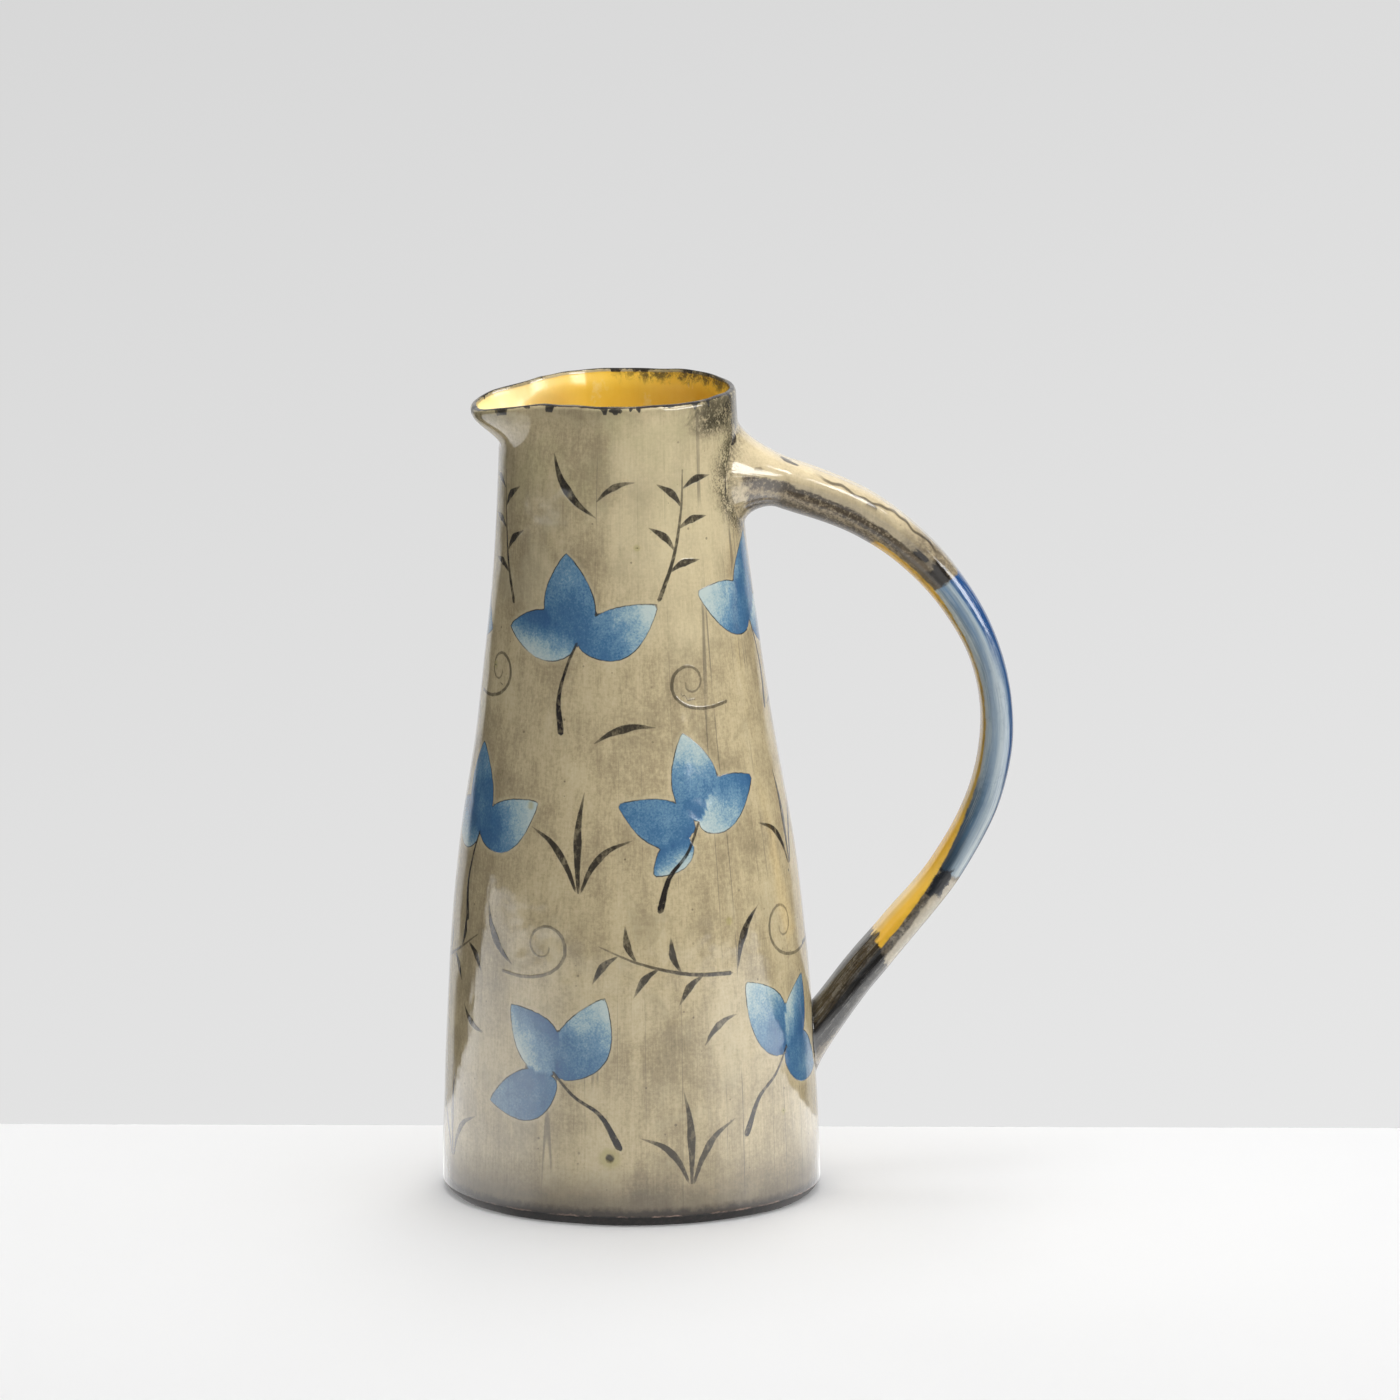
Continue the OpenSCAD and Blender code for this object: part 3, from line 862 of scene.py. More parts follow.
def srgb(r, g, b):
    def lin(c):
        c /= 255
        return c / 12.92 if c <= 0.04045 else ((c + 0.055) / 1.055) ** 2.4
    return (lin(r), lin(g), lin(b))


def start_material(name):
    mat = bpy.data.materials.new(name)
    mat.use_nodes = True
    mat.node_tree.nodes.clear()
    g = Nodes(mat.node_tree)
    out = g.new("ShaderNodeOutputMaterial")
    bsdf = g.new("ShaderNodeBsdfPrincipled")
    g.put(out.inputs["Surface"], bsdf.outputs[0])
    tc = g.new("ShaderNodeTexCoord")
    p = g.scaled(tc.outputs["Object"], (1000, 1000, 1000))      # mm in the part's frame
    return mat, g, bsdf, p


def bump(g, height, strength, distance, normal=None):
    n = g.new("ShaderNodeBump")
    n.inputs["Strength"].default_value = strength
    n.inputs["Distance"].default_value = distance
    g.put(n.inputs["Height"], height)
    if normal is not None:
        g.put(n.inputs["Normal"], normal)
    return n.outputs[0]


# Slip and glaze colours
BEIGE, STONE, OLIVE = srgb(197, 181, 144), srgb(168, 153, 121), srgb(136, 124, 97)
UMBER, SOOT = srgb(70, 60, 50), srgb(30, 27, 25)
GOLD, AMBER, STRAW = srgb(243, 203, 80), srgb(229, 179, 52), srgb(252, 238, 182)
DEEP = srgb(36, 72, 118)
CLAY, PINK = srgb(92, 74, 64), srgb(176, 148, 132)


def slip(g, p):
    """Brushed stone-coloured slip: soft mottling, upright brush marks and a fine cloth-like grain."""
    big = g.noise(p, 0.030, 3.0, 0.55, 0.35)
    mott = g.noise(g.scaled(p, (0.12, 0.12, 0.085), (5, 2, 9)), 1.0, 4.0, 0.62, 0.3)
    streak = g.noise(g.scaled(p, (0.20, 0.20, 0.014)), 1.0, 3.0, 0.55, 0.15)
    warp = g.noise(g.scaled(p, (1.9, 1.9, 0.07)), 1.0, 2.0, 0.6)
    weft = g.noise(g.scaled(p, (0.14, 0.14, 2.3), (2, 7, 4)), 1.0, 2.0, 0.6)
    fine = g.noise(p, 0.95, 4.0, 0.72)
    v = g.add(g.mul(g.sub(big, 0.5), 1.25), 0.44)
    v = g.add(v, g.mul(g.sub(streak, 0.5), 0.66))
    v = g.add(v, g.mul(g.sub(mott, 0.5), 0.50))
    v = g.add(v, g.mul(g.sub(warp, 0.5), 0.50))
    v = g.add(v, g.mul(g.sub(weft, 0.5), 0.18))
    v = g.add(v, g.mul(g.sub(fine, 0.5), 0.95))
    col = g.ramp(v, [(0.0, srgb(208, 194, 158)), (0.30, BEIGE), (0.62, STONE), (1.0, OLIVE)])
    return col, streak, fine


def specks(g, p, col):
    """Iron specks and pin holes in the glaze."""
    v1 = g.cells(p, 0.34)
    r1 = g.split(v1.outputs["Color"])
    size = g.band(r1[0], 0.55, 1.0, 0.0, 0.16, smooth=False)
    dot = g.band(g.sub(v1.outputs["Distance"], size), -0.045, 0.02, 1.0, 0.0)
    col = g.color(g.mul(dot, g.band(r1[1], 0.2, 1.0, 0.12, 0.62)), col, UMBER)
    v2 = g.cells(p, 0.062)
    r2 = g.split(v2.outputs["Color"])
    on = g.m("GREATER_THAN", r2[0], 0.74)
    halo = g.mul(g.band(v2.outputs["Distance"], 0.035, 0.11, 1.0, 0.0), on)
    pit = g.mul(g.band(v2.outputs["Distance"], 0.016, 0.036, 1.0, 0.0), on)
    col = g.color(g.mul(halo, 0.30), col, srgb(212, 200, 168))
    col = g.color(g.mul(pit, 0.75), col, SOOT)
    return col, pit


def yellow(g, p):
    """Golden slip, thin over a paler ground in places."""
    v = g.add(g.mul(g.noise(p, 0.035, 3.0, 0.5), 0.75), g.mul(g.noise(g.scaled(p, (0.13, 0.13, 0.03), (9, 4, 1)), 1.0, 3.0, 0.6), 0.45))
    v = g.add(v, g.mul(g.noise(p, 0.9, 2.0, 0.6), 0.10))
    return g.ramp(g.band(v, 0.38, 0.92, 0.0, 1.0, smooth=False), [(0.0, STRAW), (0.28, GOLD), (0.72, srgb(237, 191, 64)), (1.0, AMBER)])


# ------------------------------------------------------------------ body material
def body_material():
    mat, g, bsdf, p = start_material("ewer_body_glaze")
    xyz = g.split(p)
    x, z = xyz[0], xyz[2]
    col, streak, fine = slip(g, p)
    rag = g.noise(p, 0.55, 3.0, 0.6)
    j = g.sub(rag, 0.5)
    cloud = g.noise(g.scaled(p, (0.34, 0.34, 0.24)), 1.0, 5.0, 0.72, 0.6)
    grain = g.noise(p, 1.5, 2.0, 0.7)

    # bloom: olive and grey-brown clouds in the slip, greener towards the rim
    bloom = g.band(g.noise(p, 0.045, 4.0, 0.62, 0.8), 0.54, 0.72)
    col = g.color(g.mul(bloom, 0.32), col, srgb(122, 112, 88))
    light = g.band(g.noise(g.scaled(p, (0.05, 0.05, 0.028), (40, 3, 11)), 1.0, 4.0, 0.6, 0.6), 0.55, 0.72)
    col = g.color(g.mul(light, 0.35), col, srgb(206, 194, 160))
    col = g.color(g.mul(g.band(z, 196.0, 244.0), g.band(g.noise(p, 0.06, 3.0, 0.6), 0.40, 0.66, 0.0, 0.30)), col, srgb(160, 158, 112))
    # paler patches high on the body, at the front on the handle's side and at the back on the lip's side
    for cx, cy in ((13.0, -36.0), (-12.0, 37.0)):
        far = g.add(g.m("POWER", g.mul(g.sub(x, cx), 1 / 27), 2.0), g.m("POWER", g.mul(g.sub(xyz[1], cy), 1 / 27), 2.0))
        far = g.add(far, g.m("POWER", g.mul(g.sub(z, 216.0), 1 / 50), 2.0))
        far = g.add(far, g.mul(g.sub(g.noise(p, 0.05, 3.0, 0.6), 0.5), 1.6))
        col = g.color(g.mul(g.band(far, 1.25, 0.15), 0.42), col, srgb(222, 208, 170))
    # a few upright joins in the brushwork, placed by direction so that they follow the wall's taper
    reach = g.m("MAXIMUM", g.m("SQRT", g.add(g.mul(x, x), g.mul(xyz[1], xyz[1]))), 1.0)
    seam_at = g.new("ShaderNodeCombineXYZ")
    g.put(seam_at.inputs[0], g.m("DIVIDE", g.mul(x, 4.0), reach))
    g.put(seam_at.inputs[1], g.m("DIVIDE", g.mul(xyz[1], 4.0), reach))
    g.put(seam_at.inputs[2], g.mul(z, 0.0009))
    seam = g.noise(g.scaled(seam_at.outputs[0], (1, 1, 1), (3, 17, 5)), 1.0, 1.0, 0.5)
    thin = g.band(g.m("ABSOLUTE", g.sub(seam, 0.5)), 0.0045, 0.0015)
    thin = g.mul(thin, g.band(g.noise(p, 0.03, 2.0, 0.5), 0.44, 0.58, 0.0, 0.62))
    col = g.color(thin, col, srgb(104, 96, 84))
    col, pit = specks(g, p, col)

    # painted leaves
    lf = g.split(g.attr("leaf", True))
    sd = g.add(lf[0], g.mul(j, 0.42))
    tone = g.add(g.add(lf[1], 0.06), g.mul(g.sub(g.noise(p, 0.10, 3.0, 0.6), 0.5), 0.85))
    tone = g.add(tone, g.mul(g.sub(g.noise(g.scaled(p, (0.5, 0.5, 0.09)), 1.0, 2.0, 0.6), 0.5), 0.22))
    tone = g.add(tone, g.mul(g.sub(grain, 0.5), 0.66))
    blue = g.ramp(tone, [(0.0, srgb(56, 96, 138)), (0.28, srgb(72, 114, 150)), (0.52, srgb(108, 146, 172)),
                         (0.74, srgb(160, 184, 190)), (0.95, srgb(190, 204, 200))])
    fill = g.band(sd, -0.08, 0.10, 1.0, 0.0)
    col = g.color(g.mul(g.band(sd, 0.1, 1.8, 1.0, 0.0), 0.42), col, srgb(204, 190, 156))   # slip kept pale round a leaf
    col = g.color(fill, col, blue)
    vein = g.mul(g.band(lf[2], 0.45, 0.18), g.band(g.noise(p, 0.3, 2.0, 0.6), 0.42, 0.6, 0.0, 0.30))
    col = g.color(g.mul(vein, fill), col, srgb(46, 84, 128))
    line = g.band(g.m("ABSOLUTE", sd), 0.06, 0.30, 1.0, 0.0)
    broken = g.band(g.noise(p, 0.2, 3.0, 0.6), 0.34, 0.60, 0.38, 0.94)
    col = g.color(g.mul(line, broken), col, srgb(46, 50, 52))

    # brush strokes
    ink = None
    for k in range(N_LAYERS):
        st = g.split(g.attr(f"stroke{k}", True))
        d = g.add(g.m("ABSOLUTE", st[0]), g.mul(j, 0.34))
        m = g.mul(g.band(g.sub(d, st[1]), -0.17, 0.15, 1.0, 0.0), g.mul(st[2], g.band(st[1], 0.10, 0.65, 0.56, 1.06)))
        ink = m if ink is None else g.m("MAXIMUM", ink, m)
    dry = g.band(g.noise(g.scaled(p, (0.5, 0.5, 0.35)), 1.0, 3.0, 0.65), 0.28, 0.56, 0.66, 1.0)
    ink = g.mul(ink, dry)
    col = g.color(ink, col, srgb(40, 35, 31))

    # oxide sponged under the rim on the handle's side and round the upper root of the handle, and a thin dark line on
    # the wall round the upper half of the lower root's join
    rs = g.attr("rim_s")
    rt = g.split(g.attr("roots", True))
    side = g.band(g.add(x, g.mul(g.sub(cloud, 0.5), 16.0)), 13.0, 22.0)
    low = g.band(g.add(rs, g.mul(g.sub(cloud, 0.5), 12.0)), 9.0, 14.5, 1.0, 0.0)
    sponge = g.band(g.add(g.mul(cloud, 0.62), g.mul(grain, 0.38)), 0.40, 0.52, 0.30, 0.97)
    patch = g.mul(g.mul(low, side), sponge)
    col = g.color(patch, col, srgb(62, 57, 44))
    smoke = g.mul(g.band(g.add(rs, g.mul(g.sub(g.noise(p, 0.09, 3.0, 0.6), 0.5), 14.0)), 1.0, 8.0, 1.0, 0.0), 0.30)
    col = g.color(smoke, col, srgb(132, 122, 96))
    up_ring = g.mul(g.band(g.add(rt[0], g.mul(g.sub(cloud, 0.5), 14.0)), 8.5, 2.0), g.band(g.add(g.mul(cloud, 0.55), g.mul(grain, 0.45)), 0.42, 0.54, 0.10, 0.92))
    col = g.color(up_ring, col, srgb(66, 61, 46))
    lo_ring = g.mul(g.band(g.add(rt[1], g.mul(g.sub(cloud, 0.5), 5.0)), 2.6, 0.6), g.band(cloud, 0.42, 0.56, 0.15, 0.95))
    col = g.color(g.mul(lo_ring, g.band(z, 40.0, 47.0)), col, srgb(34, 32, 30))
    # pin holes with a greenish ring
    hole = g.add(rt[2], g.mul(j, 0.5))
    col = g.color(g.mul(g.band(hole, 2.9, 1.2), 0.60), col, srgb(170, 160, 104))
    col = g.color(g.mul(g.band(hole, 1.15, 0.55), 0.92), col, srgb(46, 42, 34))

    # the foot: darker towards the bottom, a thin bare line, and a bevel painted near black, partly dark clay and partly
    # painted shade
    fz = g.add(z, g.mul(g.sub(g.noise(p, 0.14, 4.0, 0.65), 0.5), 9.0))
    col = g.color(g.mul(g.band(fz, 5.0, 22.0, 1.0, 0.0), 0.80), col, srgb(101, 92, 80))
    fz2 = g.add(z, g.mul(g.sub(g.noise(p, 0.4, 3.0, 0.7), 0.5), 2.6))
    col = g.color(g.mul(g.band(fz2, 4.0, 6.6, 1.0, 0.0), 0.88), col, srgb(54, 47, 43))
    bare = g.mul(g.band(g.m("ABSOLUTE", g.sub(g.add(z, g.mul(j, 1.1)), 3.15)), 0.34, 0.12), g.band(g.noise(p, 0.16, 3.0, 0.6), 0.44, 0.62, 0.0, 0.9))
    # the bevel near black: partly its dark clay, partly painted shade where it turns under towards the table
    col = g.color(g.band(g.add(z, g.mul(j, 0.9)), 2.9, 3.5, 1.0, 0.0), col, g.color(g.band(g.noise(p, 0.6, 4.0, 0.7), 0.40, 0.70), srgb(22, 20, 19), srgb(50, 43, 39)))
    col = g.color(bare, col, g.color(g.noise(p, 0.5, 3.0, 0.6), PINK, CLAY))

    # yellow inside, with an olive-brown smudge below the rim on the handle's side
    ins = g.attr("inside")
    yel = yellow(g, p)
    smut = g.mul(g.band(g.add(rs, g.mul(g.sub(cloud, 0.5), 7.0)), -5.2, -2.0), g.band(g.add(x, g.mul(g.sub(cloud, 0.5), 26.0)), -6.0, 12.0))
    smut = g.mul(smut, g.band(g.add(g.mul(cloud, 0.7), g.mul(grain, 0.3)), 0.41, 0.56, 0.12, 0.92))
    # paler straw towards the lip: painted light on the inner wall, where light falls in through the mouth
    yel = g.color(g.mul(g.band(x, -8.0, -40.0), 0.70), yel, STRAW)
    yel = g.color(smut, yel, srgb(94, 82, 48))
    col = g.color(ins, col, yel)

    # the rim's edge: a thin oxide line, and dabs pressed on it
    lip_n = g.noise(g.scaled(p, (0.06, 0.06, 0.02), (3, 8, 0)), 1.0, 2.0, 0.5)
    edge = g.m("ABSOLUTE", g.add(g.sub(rs, 0.45), g.mul(j, 0.8)))
    fine_line = g.mul(g.band(edge, 1.02, 0.66), g.band(lip_n, 0.34, 0.50, 0.66, 0.98))
    col = g.color(fine_line, col, srgb(34, 27, 22))
    dab_n = g.noise(g.scaled(p, (0.21, 0.21, 0.05), (3, 8, 0)), 1.0, 2.0, 0.55)
    wide = g.band(g.add(dab_n, g.band(x, 0.0, 34.0, 0.0, 0.06)), 0.515, 0.63, -0.45, 2.3, smooth=False)
    dab = g.band(g.sub(g.m("ABSOLUTE", g.sub(rs, 0.9)), wide), -0.20, 0.14, 1.0, 0.0)
    dab = g.mul(dab, g.band(g.noise(p, 0.9, 2.0, 0.6), 0.28, 0.5, 0.6, 1.0))
    col = g.color(g.mul(dab, 0.96), col, SOOT)

    g.put(bsdf.inputs["Base Color"], col)
    rough = g.band(g.noise(p, 0.15, 3.0, 0.6), 0.25, 0.8, 0.04, 0.10, smooth=False)
    rough = g.mixf(g.m("MAXIMUM", g.m("MAXIMUM", g.mul(dab, 0.9), g.mul(fine_line, 0.6)), g.mul(patch, 0.35)), rough, 0.35)
    rough = g.mixf(g.mul(ins, 0.8), rough, 0.30)
    rough = g.mixf(g.band(z, 2.9, 3.3, 1.0, 0.0), rough, 0.74)
    g.put(bsdf.inputs["Roughness"], rough)
    bsdf.inputs["IOR"].default_value = 1.72
    wave = g.add(g.noise(p, 0.075, 2.0, 0.5), g.mul(streak, 0.35))
    n1 = bump(g, wave, 0.5, 0.0007)
    small = g.add(g.mul(fine, 0.22), g.mul(pit, -1.0))
    small = g.add(small, g.mul(ink, 0.30))
    small = g.add(small, g.mul(fill, 0.35))
    small = g.add(small, g.mul(g.band(hole, 1.2, 0.4), -2.2))
    small = g.add(small, g.mul(g.mul(g.noise(p, 1.1, 3.0, 0.7), 1.6), g.band(z, 2.9, 3.3, 1.0, 0.0)))
    n2 = bump(g, small, 0.35, 0.00020, n1)
    g.put(bsdf.inputs["Normal"], n2)
    return mat


# ------------------------------------------------------------------ handle material
def handle_material():
    """Runs along the strap: stone slip with grainy dark bands, then blue, then yellow and dark at the lower end."""
    mat, g, bsdf, p = start_material("ewer_handle_glaze")
    s, v = g.attr("along"), g.attr("face")
    mm = g.attr("strap_mm", True)
    col, streak, fine = slip(g, p)
    col = g.color(0.40, col, srgb(206, 190, 158))
    col, pit = specks(g, p, col)
    rag = g.noise(p, 0.35, 4.0, 0.65)
    j = g.sub(rag, 0.5)
    cloud = g.noise(g.scaled(p, (0.30, 0.30, 0.30)), 1.0, 5.0, 0.74, 0.5)
    grain = g.noise(p, 0.9, 4.0, 0.75)
    brush = g.noise(g.scaled(mm, (0.05, 0.75, 0.55)), 1.0, 3.0, 0.6)
    kb = g.sub(brush, 0.5)
    hair = g.noise(g.scaled(mm, (0.09, 2.2, 1.6)), 1.0, 2.0, 0.6)
    u = g.add(g.mul(v, 0.5), 0.5)                        # 0 on the inner face, 1 on the outer

    # the upper arm: two dark bands along its side and inner half with a paler one between
    top_v = g.add(g.band(s, -0.06, 0.01, 0.40, 0.22, smooth=False), g.band(s, 0.01, 0.20, 0.0, -0.22, smooth=False))
    w = g.add(g.sub(top_v, v), g.add(g.mul(kb, 0.22), g.mul(j, 0.30)))
    arm = g.ramp(w, [(0.02, srgb(76, 65, 53)), (0.28, srgb(66, 56, 46)), (0.44, srgb(86, 75, 62)), (0.51, srgb(150, 134, 106)),
                     (0.64, srgb(154, 138, 110)), (0.73, srgb(88, 77, 63)), (1.0, srgb(80, 69, 57))])
    arm = g.color(g.mul(g.band(grain, 0.46, 0.60), 0.65), arm, srgb(42, 36, 30))
    arm = g.color(g.mul(g.band(grain, 0.48, 0.38), 0.55), arm, srgb(178, 162, 132))
    on = g.mul(g.band(w, -0.03, 0.08), g.band(g.add(s, g.mul(j, 0.06)), -0.074, -0.052))
    col = g.color(g.mul(on, 0.94), col, arm)
    # greyer and speckled towards the blue, and sponged where the root meets the wall
    dust = g.band(g.add(g.mul(cloud, 0.55), g.mul(grain, 0.45)), 0.36, 0.56, 0.34, 0.92)
    col = g.color(g.mul(g.band(g.add(s, g.mul(j, 0.05)), 0.17, 0.24), dust), col, srgb(104, 93, 77))
    near = g.mul(g.band(g.add(s, g.mul(g.sub(cloud, 0.5), 0.07)), -0.058, -0.088), g.band(g.add(g.mul(cloud, 0.5), g.mul(grain, 0.5)), 0.44, 0.56, 0.05, 0.85))
    col = g.color(near, col, srgb(84, 78, 58))
    # dabs and a thin wavering line on its back
    dab = g.mul(g.band(g.noise(p, 0.105, 2.0, 0.5), 0.635, 0.665), g.band(s, 0.24, 0.21))
    dab = g.mul(dab, g.band(u, 0.70, 0.85))
    wav = g.add(g.sub(v, 0.80), g.mul(g.sub(g.noise(g.scaled(mm, (0.07, 0.0, 0.0)), 1.0, 2.0, 0.6), 0.5), 0.9))
    wavy = g.mul(g.band(g.m("ABSOLUTE", wav), 0.075, 0.025), g.mul(g.band(s, 0.03, 0.06), g.band(s, 0.27, 0.23)))
    col = g.color(g.m("MAXIMUM", g.mul(dab, 0.9), g.mul(wavy, 0.75)), col, srgb(50, 44, 38))
    # dark patches just before the blue
    sb = g.add(s, g.mul(j, 0.014))
    cap = g.mul(g.band(g.m("ABSOLUTE", g.sub(g.add(sb, g.mul(kb, 0.02)), 0.277)), 0.023, 0.014), g.band(g.add(v, g.mul(g.sub(cloud, 0.5), 0.8)), 0.58, 0.46))
    cap = g.m("MAXIMUM", cap, g.mul(g.band(g.add(g.m("ABSOLUTE", g.sub(sb, 0.236)), g.mul(g.sub(cloud, 0.5), 0.04)), 0.020, 0.010), g.band(g.m("ABSOLUTE", g.sub(g.add(v, g.mul(kb, 0.5)), 0.10)), 0.24, 0.12)))
    col = g.color(g.mul(cap, g.band(g.add(v, g.mul(j, 0.3)), -0.32, -0.15, 0.30, 0.97)), col, srgb(36, 32, 28))

    # blue middle, streaked along the strap, paler where the slip thins over an edge; the pale stops just inside the
    # dark outer band are a painted highlight along the ridge
    ub = g.add(u, g.add(g.mul(kb, 0.17), g.mul(g.sub(hair, 0.5), 0.09)))
    first = g.ramp(ub, [(0.05, srgb(212, 206, 186)), (0.14, srgb(206, 212, 208)), (0.23, srgb(184, 200, 206)), (0.32, srgb(106, 134, 158)), (0.42, srgb(98, 128, 154)), (0.52, srgb(142, 160, 172)),
                        (0.595, srgb(172, 187, 194)), (0.635, srgb(146, 170, 187)), (0.675, srgb(52, 92, 140)), (0.78, srgb(38, 78, 130)), (0.93, srgb(34, 70, 120))])
    second = g.ramp(ub, [(0.05, srgb(200, 192, 162)), (0.12, srgb(194, 202, 204)), (0.20, srgb(164, 184, 198)), (0.29, srgb(124, 148, 170)), (0.40, srgb(130, 150, 166)), (0.56, srgb(180, 192, 197)),
                         (0.67, srgb(178, 191, 198)), (0.78, srgb(140, 158, 174)), (0.88, srgb(56, 90, 134)), (0.97, srgb(38, 72, 118))])
    third = g.ramp(ub, [(0.05, srgb(58, 68, 70)), (0.20, srgb(52, 76, 98)), (0.40, srgb(84, 110, 132)), (0.55, srgb(140, 158, 170)),
                        (0.66, srgb(148, 163, 171)), (0.78, srgb(176, 187, 190)), (0.87, srgb(142, 158, 170)), (0.93, srgb(46, 74, 108)), (1.0, srgb(36, 60, 96))])
    sj = g.add(s, g.mul(j, 0.08))
    blue = g.color(g.band(g.add(sj, g.mul(kb, 0.10)), 0.36, 0.50), first, second)
    blue = g.color(g.band(sj, 0.57, 0.70), blue, third)
    blue = g.color(g.mul(g.band(hair, 0.52, 0.70), 0.34), blue, srgb(64, 96, 130))
    blue = g.color(g.mul(g.band(hair, 0.46, 0.32), 0.22), blue, srgb(196, 208, 210))
    blue = g.color(g.mul(g.band(cloud, 0.52, 0.70), 0.20), blue, srgb(50, 80, 112))
    blue = g.color(g.mul(g.band(g.add(s, g.mul(kb, 0.08)), 0.69, 0.785), g.band(ub, 0.64, 0.40, 0.0, 0.85)), blue, srgb(30, 46, 60))
    blue_on = g.mul(g.band(sb, 0.292, 0.297), g.band(g.add(sb, g.mul(v, 0.006)), 0.792, 0.785))
    col = g.color(blue_on, col, blue)

    # yellow inner face, wider towards the lower end, edged by a dark stripe
    low_v = g.add(g.band(s, 0.30, 0.40, -0.62, -0.80, smooth=False), g.band(s, 0.69, 0.79, 0.0, 0.26, smooth=False))
    low_v = g.add(low_v, g.band(s, 0.79, 0.90, 0.0, 0.34, smooth=False))
    dv = g.add(g.sub(v, low_v), g.add(g.mul(j, 0.16), g.mul(kb, 0.10)))
    tail = g.mul(g.band(sb, 0.786, 0.796), g.band(g.add(s, g.mul(j, 0.06)), 1.04, 1.00))
    col = g.color(g.mul(tail, 0.45), col, srgb(222, 212, 188))
    stripe = g.mul(tail, g.mul(g.band(g.add(dv, g.mul(g.sub(cloud, 0.5), 0.3)), 0.56, 0.40), g.band(g.noise(p, 0.5, 3.0, 0.7), 0.30, 0.5, 0.55, 1.0)))
    col = g.color(g.mul(stripe, 0.92), col, g.color(g.band(grain, 0.35, 0.65), srgb(40, 37, 33), srgb(102, 92, 78)))
    y_on = g.mul(g.band(g.add(s, g.mul(j, 0.03)), 0.155, 0.175), g.band(dv, 0.05, -0.04))
    yel = g.color(0.30, yellow(g, p), srgb(226, 160, 40))
    # paler yellow along the innermost edge of the lower arm: painted light, with a painted highlight, where that face
    # turns up towards the light
    yel = g.color(g.mul(g.band(v, -0.66, -0.92), g.mul(g.band(s, 0.78, 0.86), 0.42)), yel, srgb(244, 226, 170))
    yel = g.color(g.mul(g.band(dv, -0.30, 0.0), g.band(cloud, 0.45, 0.62, 0.05, 0.28)), yel, srgb(150, 116, 44))
    thin_y = g.color(g.mul(g.mul(g.band(s, 0.30, 0.34), g.band(s, 0.72, 0.66)), 0.40), yel, srgb(126, 118, 74))
    col = g.color(y_on, col, thin_y)
    ks = g.add(g.add(sb, g.mul(v, 0.016)), g.mul(g.sub(cloud, 0.5), 0.035))
    knot = g.mul(g.band(g.m("ABSOLUTE", g.sub(ks, 0.806)), 0.030, 0.022), g.band(g.m("ABSOLUTE", g.add(g.add(v, g.mul(g.sub(cloud, 0.5), 0.9)), g.mul(g.sub(s, 0.806), -5.0))), 0.46, 0.34))
    col = g.color(g.mul(knot, 0.97), col, srgb(20, 26, 33))

    # the dark lower end, on a slant, with streaks along the strap and a pale tail below
    st = g.add(g.add(s, g.mul(v, -0.016)), g.add(g.mul(j, 0.030), g.mul(kb, 0.026)))
    foot = g.band(st, 0.942, 0.950)
    lo = g.add(g.mul(hair, 0.5), g.mul(cloud, 0.5))
    grey = g.ramp(g.band(lo, 0.36, 0.66, 0.0, 1.0, smooth=False), [(0.0, srgb(12, 12, 13)), (0.32, srgb(24, 24, 25)), (0.56, srgb(44, 44, 45)), (0.76, srgb(92, 91, 88)), (1.0, srgb(40, 39, 39))])
    grey = g.color(g.mul(g.band(g.m("ABSOLUTE", g.add(v, g.add(0.02, g.mul(kb, 0.3)))), 0.20, 0.10), 0.88), grey, srgb(16, 15, 15))
    grey = g.color(g.mul(g.band(g.add(v, g.mul(g.sub(cloud, 0.5), 1.4)), 0.40, 0.72), 0.22), grey, srgb(112, 106, 94))
    grey = g.color(g.mul(g.mul(g.band(cloud, 0.55, 0.65), g.band(s, 1.01, 0.97)), 0.12), grey, srgb(124, 110, 62))
    end_v = g.band(g.add(s, g.mul(j, 0.05)), 1.04, 1.16, 1.05, 0.25, smooth=False)
    dark = g.mul(foot, g.band(g.sub(g.add(v, g.mul(g.sub(cloud, 0.5), 0.9)), end_v), 0.12, -0.12))
    col = g.color(g.mul(dark, 0.97), col, grey)
    col = g.color(g.mul(g.mul(dark, g.band(s, 1.09, 1.12)), g.band(cloud, 0.40, 0.54, 0.4, 0.97)), col, srgb(18, 17, 16))

    g.put(bsdf.inputs["Base Color"], col)
    rough = g.band(g.noise(p, 0.2, 3.0, 0.6), 0.25, 0.8, 0.04, 0.11, smooth=False)
    g.put(bsdf.inputs["Roughness"], g.mixf(g.mul(on, 0.25), rough, 0.4))
    bsdf.inputs["IOR"].default_value = 1.72
    wave = g.add(g.noise(p, 0.10, 2.0, 0.5), g.mul(brush, 0.45))
    n1 = bump(g, wave, 0.45, 0.0006)
    small = g.add(g.mul(fine, 0.3), g.add(g.mul(pit, -1.0), g.mul(g.mul(grain, on), 0.5)))
    n2 = bump(g, small, 0.3, 0.0002, n1)
    g.put(bsdf.inputs["Normal"], n2)
    return mat


